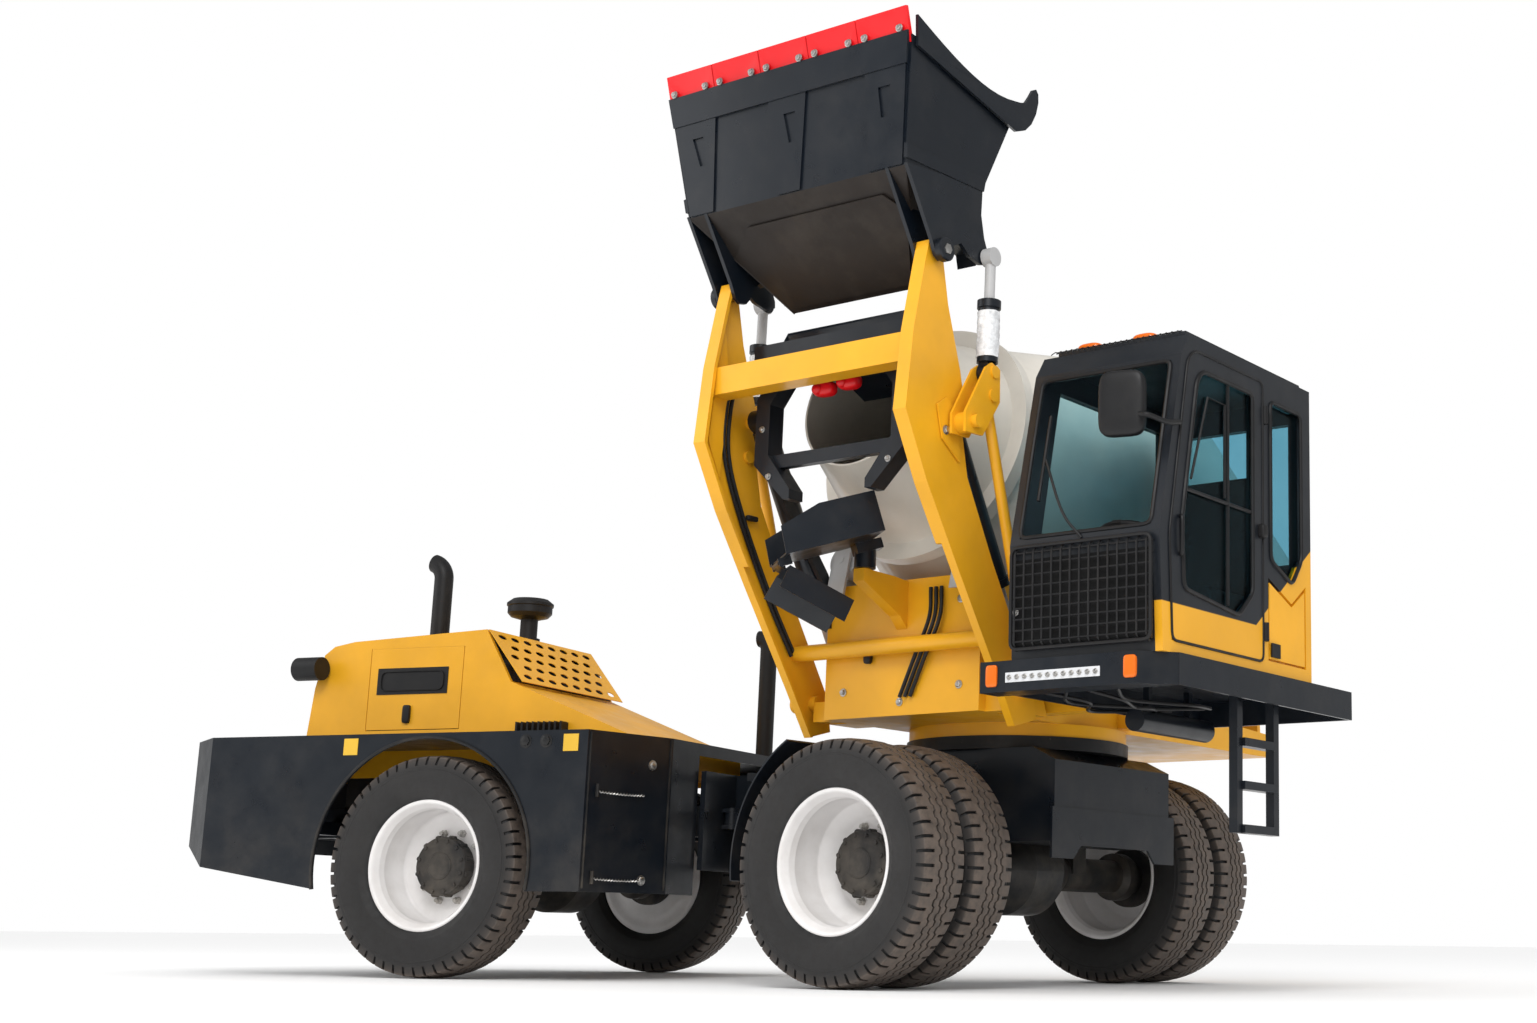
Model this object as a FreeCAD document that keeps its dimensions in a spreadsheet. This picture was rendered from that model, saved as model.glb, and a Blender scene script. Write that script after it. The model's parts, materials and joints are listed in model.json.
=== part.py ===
import FreeCAD, Part
import math
import os
import re

import Sketcher
from FreeCAD import Placement, Rotation, Vector

# Self-loading concrete mixer on four tyred wheels, in millimetres, +Z up, +X forward, +Y left.
# Three modules are each drawn straight ahead and then turned as the machine stands:
#   the mixer chassis on its twin-tyred axle, with the slewing axis at its origin,
#   the engine module, hinged to the back of the chassis, drawn from its hinge,
#   the slewing upper with cab, drum, chutes and loader, drawn from the slewing axis.

SIZES = (
    # how the machine stands
    ("articulation_angle", 15.5),
    ("slew_angle", -90),
    # running gear
    ("tyre_radius", 525),
    ("tyre_width", 300),
    ("rim_radius", 291),
    ("rim_width", 234),
    ("twin_spacing", 336),
    ("front_wheel_out", 1195),
    ("rear_wheel_out", 1045),
    ("hub_radius", 145),
    ("hinge_back", 1200),
    ("axle_back", 1528),
    # mixer chassis
    ("frame_half", 480),
    ("frame_front", 556),
    ("frame_rear", 1010),
    ("frame_bottom", 640),
    ("deck_height", 1060),
    ("apron_bottom", 566),
    ("fender_radius", 612),
    ("fender_skin", 8),
    ("ring_radius", 530),
    ("hinge_pin_radius", 45),
    ("ear_thick", 40),
    ("steer_out", 200),
    ("steer_lock", 35),
    ("steer_height", 790),
    ("steer_reach", 130),
    ("steer_foot", 420),
    # engine module
    ("hull_half", 1200),
    ("hull_top", 1150),
    ("hull_bottom", 405),
    ("hull_length", 3050),
    ("hull_skin", 12),
    ("arch_radius", 600),
    ("hood_half", 488),
    ("hood_top", 1764),
    ("slot_length", 46),
    ("slot_width", 22),
    ("slot_pitch", 92),
    ("slot_rise", 72),
    ("hood_skin", 12),
    ("hood_door_rear", 2450),
    ("hood_door_front", 1880),
    ("hood_door_low", 1250),
    ("hood_door_high", 1680),
    ("seam", 4),
    ("exhaust_radius", 50),
    ("tow_radius", 26),
    # upper frame
    ("base_bottom", 1180),
    ("base_top", 1205),
    ("cheek_out", 440),
    ("cheek_skin", 25),
    ("front_plate", 900),
    ("front_plate_top", 1790),
    ("platform_bottom", 1195),
    ("platform_top", 1322),
    ("platform_out", 1620),
    ("platform_front", 1165),
    ("platform_rear", 330),
    # cab
    ("cab_in", 862),
    ("cab_out", 1590),
    ("cab_front", 1270),
    ("cab_roof", 2655),
    ("cab_wall", 40),
    ("cab_sill", 1800),
    ("glass", 6),
    # drum
    ("drum_mouth_x", 1246),
    ("drum_mouth_z", 2544),
    ("drum_pitch", 11.75),
    ("drum_radius", 870),
    ("drum_mouth_radius", 314),
    ("drum_tail_radius", 600),
    ("drum_cone", 1400),
    ("drum_belly", 1850),
    ("drum_length", 3150),
    ("drum_skin", 10),
    ("track_at", 500),
    ("track_radius", 575),
    ("roller_radius", 80),
    # loader
    ("arm_pivot_x", 820),
    ("arm_pivot_z", 1270),
    ("arm_out", 600),
    ("arm_web", 20),
    ("arm_flange", 68),
    ("bucket_pin_x", 1490),
    ("bucket_pin_z", 3060),
    ("bucket_half", 700),
    ("bucket_skin", 14),
    ("bucket_neck", 470),
    ("pin_radius", 28),
    ("cylinder_base", 58),
    ("lift_cap_x", 1330),
    ("lift_cap_z", 2500),
    ("lift_foot_x", 695),
    ("lift_foot_z", 1400),
    ("lift_out", 510),
    ("lift_barrel_radius", 55),
    ("lever_pin_x", 1330),
    ("lever_pin_z", 2340),
    ("link_top_x", 1205),
    ("link_top_z", 2480),
    ("tilt_foot_x", 1198),
    ("tilt_foot_z", 2585),
    ("tilt_eye_x", 1190),
    ("tilt_eye_z", 3110),
    ("lever_out", 665),
    # chutes
    ("chute_turn_x", 1170),
    ("chute_turn_z", 1800),
    ("chute_length", 424),
    ("chute_half", 175),
    ("chute_offset", 97),
    ("chute_pin_radius", 25),
    ("chute_skin", 6),
    ("chute_yaw", -36),
)

doc = FreeCAD.newDocument("self_loading_mixer")
sheet = doc.addObject("Spreadsheet::Sheet", "sizes")
for row, (alias, number) in enumerate(SIZES, start=1):
    sheet.set(f"A{row}", alias)
    sheet.set(f"B{row}", str(number))
    sheet.setAlias(f"B{row}", alias)
doc.recompute()

WORDS = re.compile(r"\b(" + "|".join(alias for alias, number in SIZES) + r")\b")


def sized(formula):
    """A formula of size names as the document's expression engine reads it."""
    return WORDS.sub(r"sizes.\1", str(formula))


def value(formula):
    """The number that a formula of size names stands for now."""
    return float(sheet.evalExpression(sized(formula)))


def bind(thing, **formulas):
    """Ties properties, named with _ for a dot, to formulas of the sheet's sizes."""
    for name, formula in formulas.items():
        thing.setExpression(name.replace("_", "."), sized(formula))


def move(thing, x="0", y="0", z="0"):
    """Ties a thing's place to formulas."""
    thing.setExpression("Placement.Base.x", sized(x))
    thing.setExpression("Placement.Base.y", sized(y))
    thing.setExpression("Placement.Base.z", sized(z))
    return thing


# ---------------------------------------------------------------- shapes


def box(name, low, high):
    """A block between two corners, each a triple of formulas."""
    block = doc.addObject("Part::Box", name)
    bind(block, Length=f"({high[0]}) - ({low[0]})")
    bind(block, Width=f"({high[1]}) - ({low[1]})")
    bind(block, Height=f"({high[2]}) - ({low[2]})")
    return move(block, *low)


AXES = {
    "X": Rotation(Vector(0, 1, 0), 90),
    "Y": Rotation(Vector(1, 0, 0), -90),
    "Z": Rotation(),
}


def rod(name, axis, radius, start, length):
    """A round bar along an axis from its start point."""
    bar = doc.addObject("Part::Cylinder", name)
    bar.Placement = Placement(Vector(), AXES[axis])
    bind(bar, Radius=radius, Height=length)
    return move(bar, *start)


def sketch_of(body, plane, points, holes=()):
    """A closed outline whose corners, and whose round holes, are tied to the sizes."""
    sketch = body.newObject("Sketcher::SketchObject", body.Name + "_outline")
    ground = [f for f in body.Origin.OriginFeatures if f.Role == plane + "_Plane"][0]
    sketch.AttachmentSupport = [(ground, "")]
    sketch.MapMode = "FlatFace"
    spots = [Vector(value(a), value(b), 0) for a, b in points]
    count = len(spots)
    for i in range(count):
        sketch.addGeometry(Part.LineSegment(spots[i], spots[(i + 1) % count]))
    rules = [Sketcher.Constraint("Coincident", i, 2, (i + 1) % count, 1) for i in range(count)]
    ties = []
    for i, (a, b) in enumerate(points):
        for kind, formula, now in (("DistanceX", a, spots[i].x), ("DistanceY", b, spots[i].y)):
            ties.append((len(rules), formula))
            rules.append(Sketcher.Constraint(kind, -1, 1, i, 1, now))
    for a, b, radius in holes:
        centre = Vector(value(a), value(b), 0)
        ring = sketch.addGeometry(Part.Circle(centre, Vector(0, 0, 1), value(radius)))
        for kind, formula, now in (("DistanceX", a, centre.x), ("DistanceY", b, centre.y)):
            ties.append((len(rules), formula))
            rules.append(Sketcher.Constraint(kind, -1, 1, ring, 3, now))
        ties.append((len(rules), radius))
        rules.append(Sketcher.Constraint("Radius", ring, value(radius)))
    sketch.addConstraint(rules)
    for number, formula in ties:
        sketch.setExpression(f"Constraints[{number}]", sized(formula))
    return sketch


def rounded(body, plane, points, rounds):
    """Rounds the corners of a padded outline: rounds holds (radius, corner numbers) pairs."""
    across = {"XY": Vector(0, 0, 1), "XZ": Vector(0, 1, 0), "YZ": Vector(1, 0, 0)}[plane]
    flat = {"XY": ("x", "y"), "XZ": ("x", "z"), "YZ": ("y", "z")}[plane]
    for radius, corners in rounds:
        doc.recompute()
        last = body.Tip
        wanted = [(value(points[c][0]), value(points[c][1])) for c in corners]
        edges = []
        for number, edge in enumerate(last.Shape.Edges, start=1):
            ends = [vertex.Point for vertex in edge.Vertexes]
            if len(ends) < 2 or (ends[1] - ends[0]).cross(across).Length > 0.01:
                continue
            spot = body.Placement.inverse().multVec(ends[0])
            here = (getattr(spot, flat[0]), getattr(spot, flat[1]))
            if any(math.dist(here, there) < 0.01 for there in wanted):
                edges.append(f"Edge{number}")
        fillet = body.newObject("PartDesign::Fillet", body.Name + "_round")
        fillet.Base = (last, edges)
        bind(fillet, Radius=radius)


def plate(name, plane, points, thick, centre="0", holes=(), rounds=()):
    """An outline in a plane, padded half its thickness each way from centre."""
    body = doc.addObject("PartDesign::Body", name)
    pad = body.newObject("PartDesign::Pad", name + "_pad")
    pad.Profile = sketch_of(body, plane, points, holes)
    pad.Midplane = True
    bind(pad, Length=thick)
    rounded(body, plane, points, rounds)
    along = {"XY": "z", "XZ": "y", "YZ": "x"}[plane]
    return move(body, **{along: centre})


def turned(name, points, about="Y", angle="360"):
    """A profile of (radius, along) points turned about Y, or (along, radius) about X."""
    body = doc.addObject("PartDesign::Body", name)
    spin = body.newObject("PartDesign::Revolution", name + "_turn")
    sketch = sketch_of(body, "XY" if about == "Y" else "XZ", points)
    spin.Profile = sketch
    spin.ReferenceAxis = (sketch, ["V_Axis" if about == "Y" else "H_Axis"])
    bind(spin, Angle=angle)
    return body


def cut(name, base, *tools):
    """The base with the tools taken out of it, one after another."""
    for number, tool in enumerate(tools):
        step = doc.addObject("Part::Cut", f"{name}_{number}")
        step.Base = base
        step.Tool = tool
        base = step
    return base


def fuse(name, *pieces):
    """Pieces that are welded into one."""
    weld = doc.addObject("Part::MultiFuse", name)
    weld.Shapes = list(pieces)
    weld.Refine = True
    return weld


def common(name, one, other):
    """What two shapes share."""
    both = doc.addObject("Part::Common", name)
    both.Base = one
    both.Tool = other
    return both


def group(name, pieces, place):
    """Pieces that are moved together."""
    bundle = doc.addObject("Part::Compound", name)
    bundle.Links = list(pieces)
    bundle.Placement = place
    return bundle


# ---------------------------------------------------------------- modules

STAND = {
    "chassis": Placement(),
    "engine": Placement(
        Vector(-value("hinge_back"), 0, 0), Rotation(Vector(0, 0, 1), value("articulation_angle"))
    ),
    "upper": Placement(Vector(), Rotation(Vector(0, 0, 1), value("slew_angle"))),
}
parts = []


def node(name, module, pieces, local=Placement()):
    """Registers a named sub-part, standing as its module stands."""
    whole = group(name, pieces, STAND[module] * local)
    whole.Label = name
    parts.append(whole)
    return whole


def at(x, y, z, turn=Rotation()):
    """A place from three formulas."""
    return Placement(Vector(value(x), value(y), value(z)), turn)


SIDES = (("left", 1), ("right", -1))

# ---------------------------------------------------------------- wheels and axles

TYRE = (
    ("rim_radius", "-104"),
    ("rim_radius + 18", "-104"),
    ("rim_radius + 24", "-122"),
    ("rim_radius + 55", "-tyre_width/2 + 10"),
    ("tyre_radius - 110", "-tyre_width/2"),
    ("tyre_radius - 40", "-tyre_width/2 + 8"),
    ("tyre_radius - 8", "-tyre_width/2 + 28"),
    ("tyre_radius", "-tyre_width/2 + 60"),
)


def mirrored(points):
    """A profile of (radius, along) points carried on to its mirror image across the middle."""
    return tuple(points) + tuple((r, f"-({y})") for r, y in reversed(points))


def rim_profile(dish):
    """A wheel's steel: barrel, two flanges, and a disc that cones in to its bolting face."""
    return (
        ("rim_radius - 20", f"-rim_width/2"),
        ("rim_radius + 15", f"-rim_width/2"),
        ("rim_radius + 15", f"-rim_width/2 + 11"),
        ("rim_radius - 1", f"-rim_width/2 + 13"),
        ("rim_radius - 1", f"rim_width/2 - 13"),
        ("rim_radius + 15", f"rim_width/2 - 11"),
        ("rim_radius + 15", f"rim_width/2"),
        ("rim_radius - 20", f"rim_width/2"),
        ("rim_radius - 20", f"-rim_width/2 + 50"),
        ("hub_radius + 45", f"-({dish}) + 14"),
        ("hub_radius - 35", f"-({dish}) + 14"),
        ("hub_radius - 35", f"-({dish})"),
        ("hub_radius + 35", f"-({dish})"),
        ("rim_radius - 20", f"-rim_width/2 + 20"),
    )


def wheel_set(axle, module, x, out, twin):
    """Tyres, rims and hub of both sides of an axle: twins share a bolting face."""
    dish = "twin_spacing/2" if twin else "118"
    for side, sign in SIDES:
        lanes = [(f"{out}", 1)]
        if twin:
            lanes.append((f"{out} - twin_spacing", -1))
        tyres = []
        rims = []
        for number, (lane, facing) in enumerate(lanes):
            place = Placement(Vector(0, value(lane), 0), Rotation())
            tag = f"{axle}_{side}_{number}"
            tyres.append(group("tyre_" + tag, [turned("tyre_shape_" + tag, mirrored(TYRE))], place))
            turn = Rotation() if facing > 0 else Rotation(Vector(1, 0, 0), 180)
            rim = turned("rim_shape_" + tag, rim_profile(dish))
            rims.append(group("rim_" + tag, [rim], Placement(place.Base, turn)))
        face = f"{out} - {dish}"
        inner = "14.5" if twin else "0.5"
        hub = turned(f"hub_shape_{axle}_{side}", (
            ("0", f"{face} - 122"),
            ("90", f"{face} - 122"),
            ("90", f"{face} - 42"),
            ("hub_radius + 5", f"{face} - 42"),
            ("hub_radius + 5", f"{face} - {inner}"),
            ("hub_radius - 38", f"{face} - {inner}"),
            ("hub_radius - 38", f"{face} + 18"),
            ("hub_radius", f"{face} + 18"),
            ("hub_radius", f"{face} + 85"),
            ("hub_radius - 22", f"{face} + 112"),
            ("0", f"{face} + 112"),
        ))
        flip = Rotation() if sign > 0 else Rotation(Vector(0, 0, 1), 180)
        local = at(x, "0", "tyre_radius", flip)
        node(f"{axle}_tyre_{side}", module, tyres, local)
        node(f"{axle}_wheel_{side}", module, [*rims, hub], local)


def axle_beam(name, module, x, end, pad_top, pad_out):
    """A drive axle: round tubes, a differential bulb, brake drums and its two mounting pads."""
    half = (
        ("0", f"{end}"),
        ("118", f"{end}"),
        ("118", f"{end} - 70"),
        ("82", f"{end} - 90"),
        ("82", "330"),
        ("150", "210"),
        ("205", "110"),
    )
    beam = turned(name + "_tube", tuple(half) + tuple((r, f"-({y})") for r, y in reversed(half)))
    pads = []
    for side, sign in SIDES:
        low = ("-90", f"{sign}*({pad_out}) - 55", "0")
        high = ("90", f"{sign}*({pad_out}) + 55", f"{pad_top} - tyre_radius")
        pads.append(box(f"{name}_pad_{side}", low, high))
    node(name, module, [fuse(name + "_weld", beam, *pads)], at(x, "0", "tyre_radius"))


wheel_set("front", "chassis", "0", "front_wheel_out", True)
wheel_set("rear", "engine", "-axle_back", "rear_wheel_out", False)
axle_beam("front_axle", "chassis", "0", "front_wheel_out - twin_spacing/2 - 122.5", "frame_bottom + 104.7",
          "frame_half - 70")
axle_beam("rear_axle", "engine", "-axle_back", "rear_wheel_out - 240.5", "frame_bottom + 59.7", "240")

# ---------------------------------------------------------------- mixer chassis

hull = plate("chassis_box", "XZ", (
    ("-frame_rear", "480"),
    ("-frame_rear", "deck_height"),
    ("frame_front - 126", "deck_height"),
    ("frame_front", "deck_height - 60"),
    ("frame_front", "frame_bottom"),
    ("240", "frame_bottom"),
    ("205", "frame_bottom + 105"),
    ("-205", "frame_bottom + 105"),
    ("-240", "frame_bottom"),
    ("-600", "frame_bottom"),
    ("-700", "480"),
), "2*frame_half")
apron = plate("chassis_apron", "YZ", (
    ("-frame_half - 30", "apron_bottom + 224"),
    ("-frame_half - 30", "apron_bottom"),
    ("-frame_half + 140", "apron_bottom"),
    ("-frame_half + 200", "apron_bottom + 60"),
    ("frame_half - 200", "apron_bottom + 60"),
    ("frame_half - 140", "apron_bottom"),
    ("frame_half + 30", "apron_bottom"),
    ("frame_half + 30", "apron_bottom + 224"),
), "12", "frame_front + 6")


def ear(name, low, thick, root, reach, half):
    """A hinge plate: a tapering tongue with its round end on the hinge line, bored for the pin."""
    tongue = plate(name + "_tongue", "XY", (
        (f"{root}", f"-{half}"),
        (f"{root}", f"{half}"),
        (f"{reach}", "115"),
        (f"{reach}", "-115"),
    ), thick, f"{low} + {thick}/2")
    end = rod(name + "_end", "Z", "118", (reach, "0", low), thick)
    bore = rod(name + "_bore", "Z", "hinge_pin_radius + 0.5", (reach, "0", f"{low} - 1"), f"{thick} + 2")
    return cut(name, fuse(name + "_weld", tongue, end), bore)


top_ear = ear("chassis_top_ear", "deck_height - ear_thick", "ear_thick", "-frame_rear + 5",
              "-hinge_back", "300")
low_ear = ear("chassis_low_ear", "480", "ear_thick", "-frame_rear + 5", "-hinge_back", "300")
pins = [
    rod("hinge_pin_top", "Z", "hinge_pin_radius", ("-hinge_back", "0", "deck_height - 110"), "125"),
    rod("hinge_pin_low", "Z", "hinge_pin_radius", ("-hinge_back", "0", "465"), "125"),
]


def clevis(name, x, y, z, root, half, gap):
    """Two flat ears above and below a cylinder's eye, standing out along X from root to the eye."""
    ears = []
    first, last = (x, root) if value(x) < value(root) else (root, x)
    for tag, low in (("top", f"{z} + {gap}/2"), ("low", f"{z} - {gap}/2 - 20")):
        tongue = box(f"{name}_{tag}_tongue", (first, f"{y} - {half}", low),
                     (last, f"{y} + {half}", f"{low} + 20"))
        end = rod(f"{name}_{tag}_end", "Z", half, (x, y, low), "20")
        ears.extend((tongue, end))
    return ears


steer_ears = []
for side, sign in SIDES:
    steer_ears.extend(clevis(f"steer_ear_{side}", "-hinge_back + steer_reach", f"{sign}*steer_out",
                             "steer_height", "-frame_rear + 5", "45", "62"))
node("front_frame", "chassis", [
    fuse("front_frame_weld", hull, apron, top_ear, low_ear, *pins, *steer_ears)
])


def front_fender(side, sign):
    """A rolled mudguard behind the twin tyres, with an inner web out from the chassis."""
    low = "front_wheel_out - twin_spacing - tyre_width/2 - 25"
    shell = turned(f"fender_shell_{side}", (
        ("fender_radius", low),
        ("fender_radius + fender_skin", low),
        ("fender_radius + fender_skin", "front_wheel_out + tyre_width/2 - 70"),
        ("fender_radius", "front_wheel_out + tyre_width/2 - 70"),
    ), angle="66")
    shell.Placement = Placement(Vector(), Rotation(Vector(0, 1, 0), -187))
    arm = box(f"fender_arm_{side}", ("-fender_radius + 22", "frame_half + 0.3", "120"),
              ("-fender_radius + 62", f"({low}) + 40", "220"))
    tongue = box(f"fender_tongue_{side}", ("-fender_radius - 2", f"{low}", "130"),
                 ("-fender_radius + 62", f"({low}) + 12", "210"))
    whole = fuse(f"fender_{side}", shell, arm, tongue)
    turn = Placement() if sign > 0 else Placement(Vector(), Rotation(Vector(0, 0, 1), 180))
    return whole, turn


def fender_node():
    """Both mudguards: the right one is the left one mirrored."""
    left, place = front_fender("left", 1)
    right = doc.addObject("Part::Mirroring", "fender_right")
    right.Source = left
    right.Normal = Vector(0, 1, 0)
    node("front_fenders", "chassis", [left, right], at("0", "0", "tyre_radius"))


fender_node()

ring = cut("slew_ring_shape", rod("slew_ring_out", "Z", "ring_radius", ("0", "0", "deck_height"), "60"),
           rod("slew_ring_in", "Z", "ring_radius - 90", ("0", "0", "deck_height - 1"), "62"))
node("slew_ring", "chassis", [ring])

# ---------------------------------------------------------------- engine module


def hull_plan(inset):
    """The engine module's outline from above, stepped in by the wall."""
    return (
        (f"-490 - {inset}", f"-700 + {inset}"),
        (f"-490 - {inset}", f"700 - {inset}"),
        (f"-650 - {inset}", f"hull_half - {inset}"),
        (f"-hull_length + 260 + {inset}", f"hull_half - {inset}"),
        (f"-hull_length + {inset}", f"hull_half - 200 - {inset}"),
        (f"-hull_length + {inset}", f"-hull_half + 200 + {inset}"),
        (f"-hull_length + 260 + {inset}", f"-hull_half + {inset}"),
        (f"-650 - {inset}", f"-hull_half + {inset}"),
    )


def rear_body():
    """The black tub: plated sides with wheel arches, a deck round the hood, an open bottom."""
    tall = "2*hull_top"
    outer = plate("tub_plan", "XY", hull_plan("0"), tall)
    side = plate("tub_side", "XZ", (
        ("-400", "hull_bottom"),
        ("-2080", "hull_bottom"),
        ("-hull_length + 260", "hull_bottom + 111"),
        ("-hull_length - 10", "hull_bottom + 225"),
        ("-hull_length - 10", "hull_top"),
        ("-400", "hull_top"),
    ), "3*hull_half")
    inner = plate("tub_inside", "XY", hull_plan("hull_skin"), "2*(hull_top - hull_skin)")
    well = box("tub_well", ("-2840", "-hood_half - 0.3", "hull_top - 60"),
               ("-752", "hood_half + 0.3", "hull_top + 60"))
    arches = [
        rod(f"arch_{side_name}", "Y", "arch_radius",
            ("-axle_back", f"{sign}*(hull_half - 150) - 200", "tyre_radius"), "400")
        for side_name, sign in SIDES
    ]
    gap = box("tub_gap", ("-510", "-440", "400"), ("-480", "440", "hull_top - 60"))
    slot = box("tub_slot", ("-hull_length - 20", "-80", "frame_bottom + 100"),
               ("-hull_length + 20", "80", "frame_bottom + 155"))
    return cut("tub", common("tub_outside", outer, side), inner, well, gap, slot, *arches)


node("rear_body", "engine", [rear_body()])

rails = [
    box(f"rail_{side}", ("-2990", f"{sign}*240 - 60", "frame_bottom + 60"),
        ("-480", f"{sign}*240 + 60", "frame_bottom + 210"))
    for side, sign in SIDES
]
cross = [
    box("rail_cross_front", ("-760", "-hull_half + hull_skin + 0.3", "frame_bottom + 70"),
        ("-690", "hull_half - hull_skin - 0.3", "frame_bottom + 140")),
    box("rail_cross_rear", ("-2760", "-hull_half + hull_skin + 0.3", "frame_bottom + 70"),
        ("-2690", "hull_half - hull_skin - 0.3", "frame_bottom + 140")),
    box("rail_cross_tow", ("-2990", "-185", "frame_bottom + 60"), ("-2940", "185", "frame_bottom + 190")),
]
head = plate("hinge_head", "XY", (
    ("-485", "-420"), ("-485", "420"), ("-458", "420"), ("-458", "105"),
    ("-300", "105"), ("-300", "-105"), ("-458", "-105"), ("-458", "-420"),
), "deck_height - ear_thick - 533", "(deck_height - ear_thick + 523)/2")
lug_top = ear("engine_top_lug", "deck_height - 2*ear_thick - 5", "ear_thick", "-305", "0", "280")
lug_low = ear("engine_low_lug", "525", "ear_thick", "-305", "0", "280")
steer_feet = []
for side, sign in SIDES:
    steer_feet.extend(clevis(f"steer_foot_{side}", "-steer_foot", f"{sign}*steer_out", "steer_height",
                             "-470", "38", "62"))
    steer_feet.append(rod(f"steer_foot_pin_{side}", "Z", "pin_radius",
                          ("-steer_foot", f"{sign}*steer_out", "steer_height - 55"), "110"))
tow_eye = cut(
    "tow_eye",
    fuse("tow_eye_weld",
         box("tow_plate", ("-hull_length - 60", "-70", "frame_bottom + 110"),
             ("-2980", "70", "frame_bottom + 145")),
         rod("tow_end", "Z", "70", ("-hull_length - 60", "0", "frame_bottom + 110"), "35")),
    rod("tow_bore", "Z", "tow_radius", ("-hull_length - 60", "0", "frame_bottom + 50"), "150"),
)
node("rear_frame", "engine", [
    fuse("rear_frame_weld", *rails, *cross, head, lug_top, lug_low, *steer_feet, tow_eye)
])

node("engine_block", "engine", [
    plate("engine_shape", "XZ", (
        ("-1850", "frame_bottom + 210.3"),
        ("-1850", "1330"),
        ("-1930", "1450"),
        ("-2620", "1450"),
        ("-2700", "1330"),
        ("-2700", "frame_bottom + 210.3"),
    ), "560")
])


def hood_side(inset):
    """The hood's outline from the side: long nose slope, louvred slope, flat top, rounded back."""
    return (
        (f"-760 - 3*{inset}", "1000"),
        (f"-760 - 3*{inset}", f"hull_top + 7"),
        (f"-1585 - 0.6*{inset}", f"1487 - {inset}"),
        (f"-1750 - 0.6*{inset}", f"hood_top - {inset}"),
        (f"-2565", f"hood_top - 40 - {inset}"),
        (f"-2690 + 0.5*{inset}", f"hood_top - 62 - {inset}"),
        (f"-2750 + {inset}", f"hood_top - 106 - 0.6*{inset}"),
        (f"-2795 + {inset}", "1480"),
        (f"-2825 + {inset}", "1200"),
        (f"-2825 + {inset}", "1000"),
    )


SLOPE = math.degrees(math.atan2(277, 165))


def air_slots():
    """Rows of long holes in the hood's sloping face ahead of its flat top."""
    holes = []
    for row in range(4):
        for column in range(9):
            holes.append(box(
                f"air_slot_{row}_{column}",
                (f"({row} - 1.5)*slot_rise - slot_length/2", f"({column} - 4)*slot_pitch - slot_width/2",
                 "-20"),
                (f"({row} - 1.5)*slot_rise + slot_length/2", f"({column} - 4)*slot_pitch + slot_width/2",
                 "20")))
    face = Rotation(Vector(0, 1, 0), SLOPE)
    nose_middle = Vector(-1667.5, 0, 1625.5)
    return group("air_slots", [fuse("air_slot_cutters", *holes)], Placement(nose_middle, face))


def engine_hood():
    """A folded sheet hood, open below, with a door opening in each side."""
    outside = plate("hood_outside", "XZ", hood_side("0"), "2*hood_half")
    inside = plate("hood_inside", "XZ", [(x, z if z != "1000" else "999") for x, z in hood_side("hood_skin")],
                   "2*(hood_half - hood_skin)")
    doorway = box("hood_doorways", ("-hood_door_rear - seam", "-hood_half - 5", "hood_door_low - seam"),
                  ("-hood_door_front + seam", "hood_half + 5", "hood_door_high + 0.5"))
    return cut("hood", outside, inside, doorway, air_slots())


node("engine_hood", "engine", [engine_hood()])
for side, sign in SIDES:
    node(f"hood_door_{side}", "engine", [
        box(f"hood_door_shape_{side}",
            ("-hood_door_rear", f"{sign}*(hood_half - hood_skin/2) - hood_skin/2", "hood_door_low"),
            ("-hood_door_front", f"{sign}*(hood_half - hood_skin/2) + hood_skin/2", "hood_door_high"))
    ])


def elbow(name, radius, bend, angle):
    """A quarter-bend of pipe in the XZ plane that starts upright at its origin and leans to -X."""
    ring = doc.addObject("Part::Torus", name)
    ring.Placement = Placement(Vector(), Rotation(Vector(1, 0, 0), 90))
    bind(ring, Radius1=bend, Radius2=radius)
    ring.Angle3 = angle
    return ring


def stack_pipe(name, radius, bend, angle, x, y, low, high):
    """An upright pipe with a bend at its top."""
    upright = rod(name + "_upright", "Z", radius, (f"({x})", y, low), f"({high}) - ({low})")
    top = elbow(name + "_bend", radius, bend, angle)
    move(top, f"({x}) - {bend}", y, high)
    return fuse(name + "_weld", upright, top)


node("exhaust_stacks", "engine", [
    stack_pipe("exhaust", "exhaust_radius", "95", 72, "-2290", "-150", "hood_top - 23.7", "2110"),
    stack_pipe("intake", "46", "60", 90, "-705", "650", "hull_top", "1780"),
])
node("air_precleaner", "engine", [
    group("precleaner", [turned("precleaner_shape", (
        ("0", "0"),
        ("62", "0"),
        ("62", "22"),
        ("46", "22"),
        ("46", "125"),
        ("100", "140"),
        ("118", "160"),
        ("118", "196"),
        ("124", "200"),
        ("124", "215"),
        ("95", "238"),
        ("0", "245"),
    ))], Placement(Vector(), Rotation(Vector(1, 0, 0), 90)))
], at("-1830", "0", "hood_top - 0.5"))
node("rear_work_light", "engine", [
    fuse("work_light_weld",
         rod("work_light_can", "X", "62", ("-2850", "-hood_half - 75", "1575"), "150"),
         rod("work_light_stalk", "Y", "18", ("-2740", "-hood_half - 80", "1575"), "80"))
])

# steering cylinders: barrels hinge on the engine module, rods reach the chassis


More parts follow.
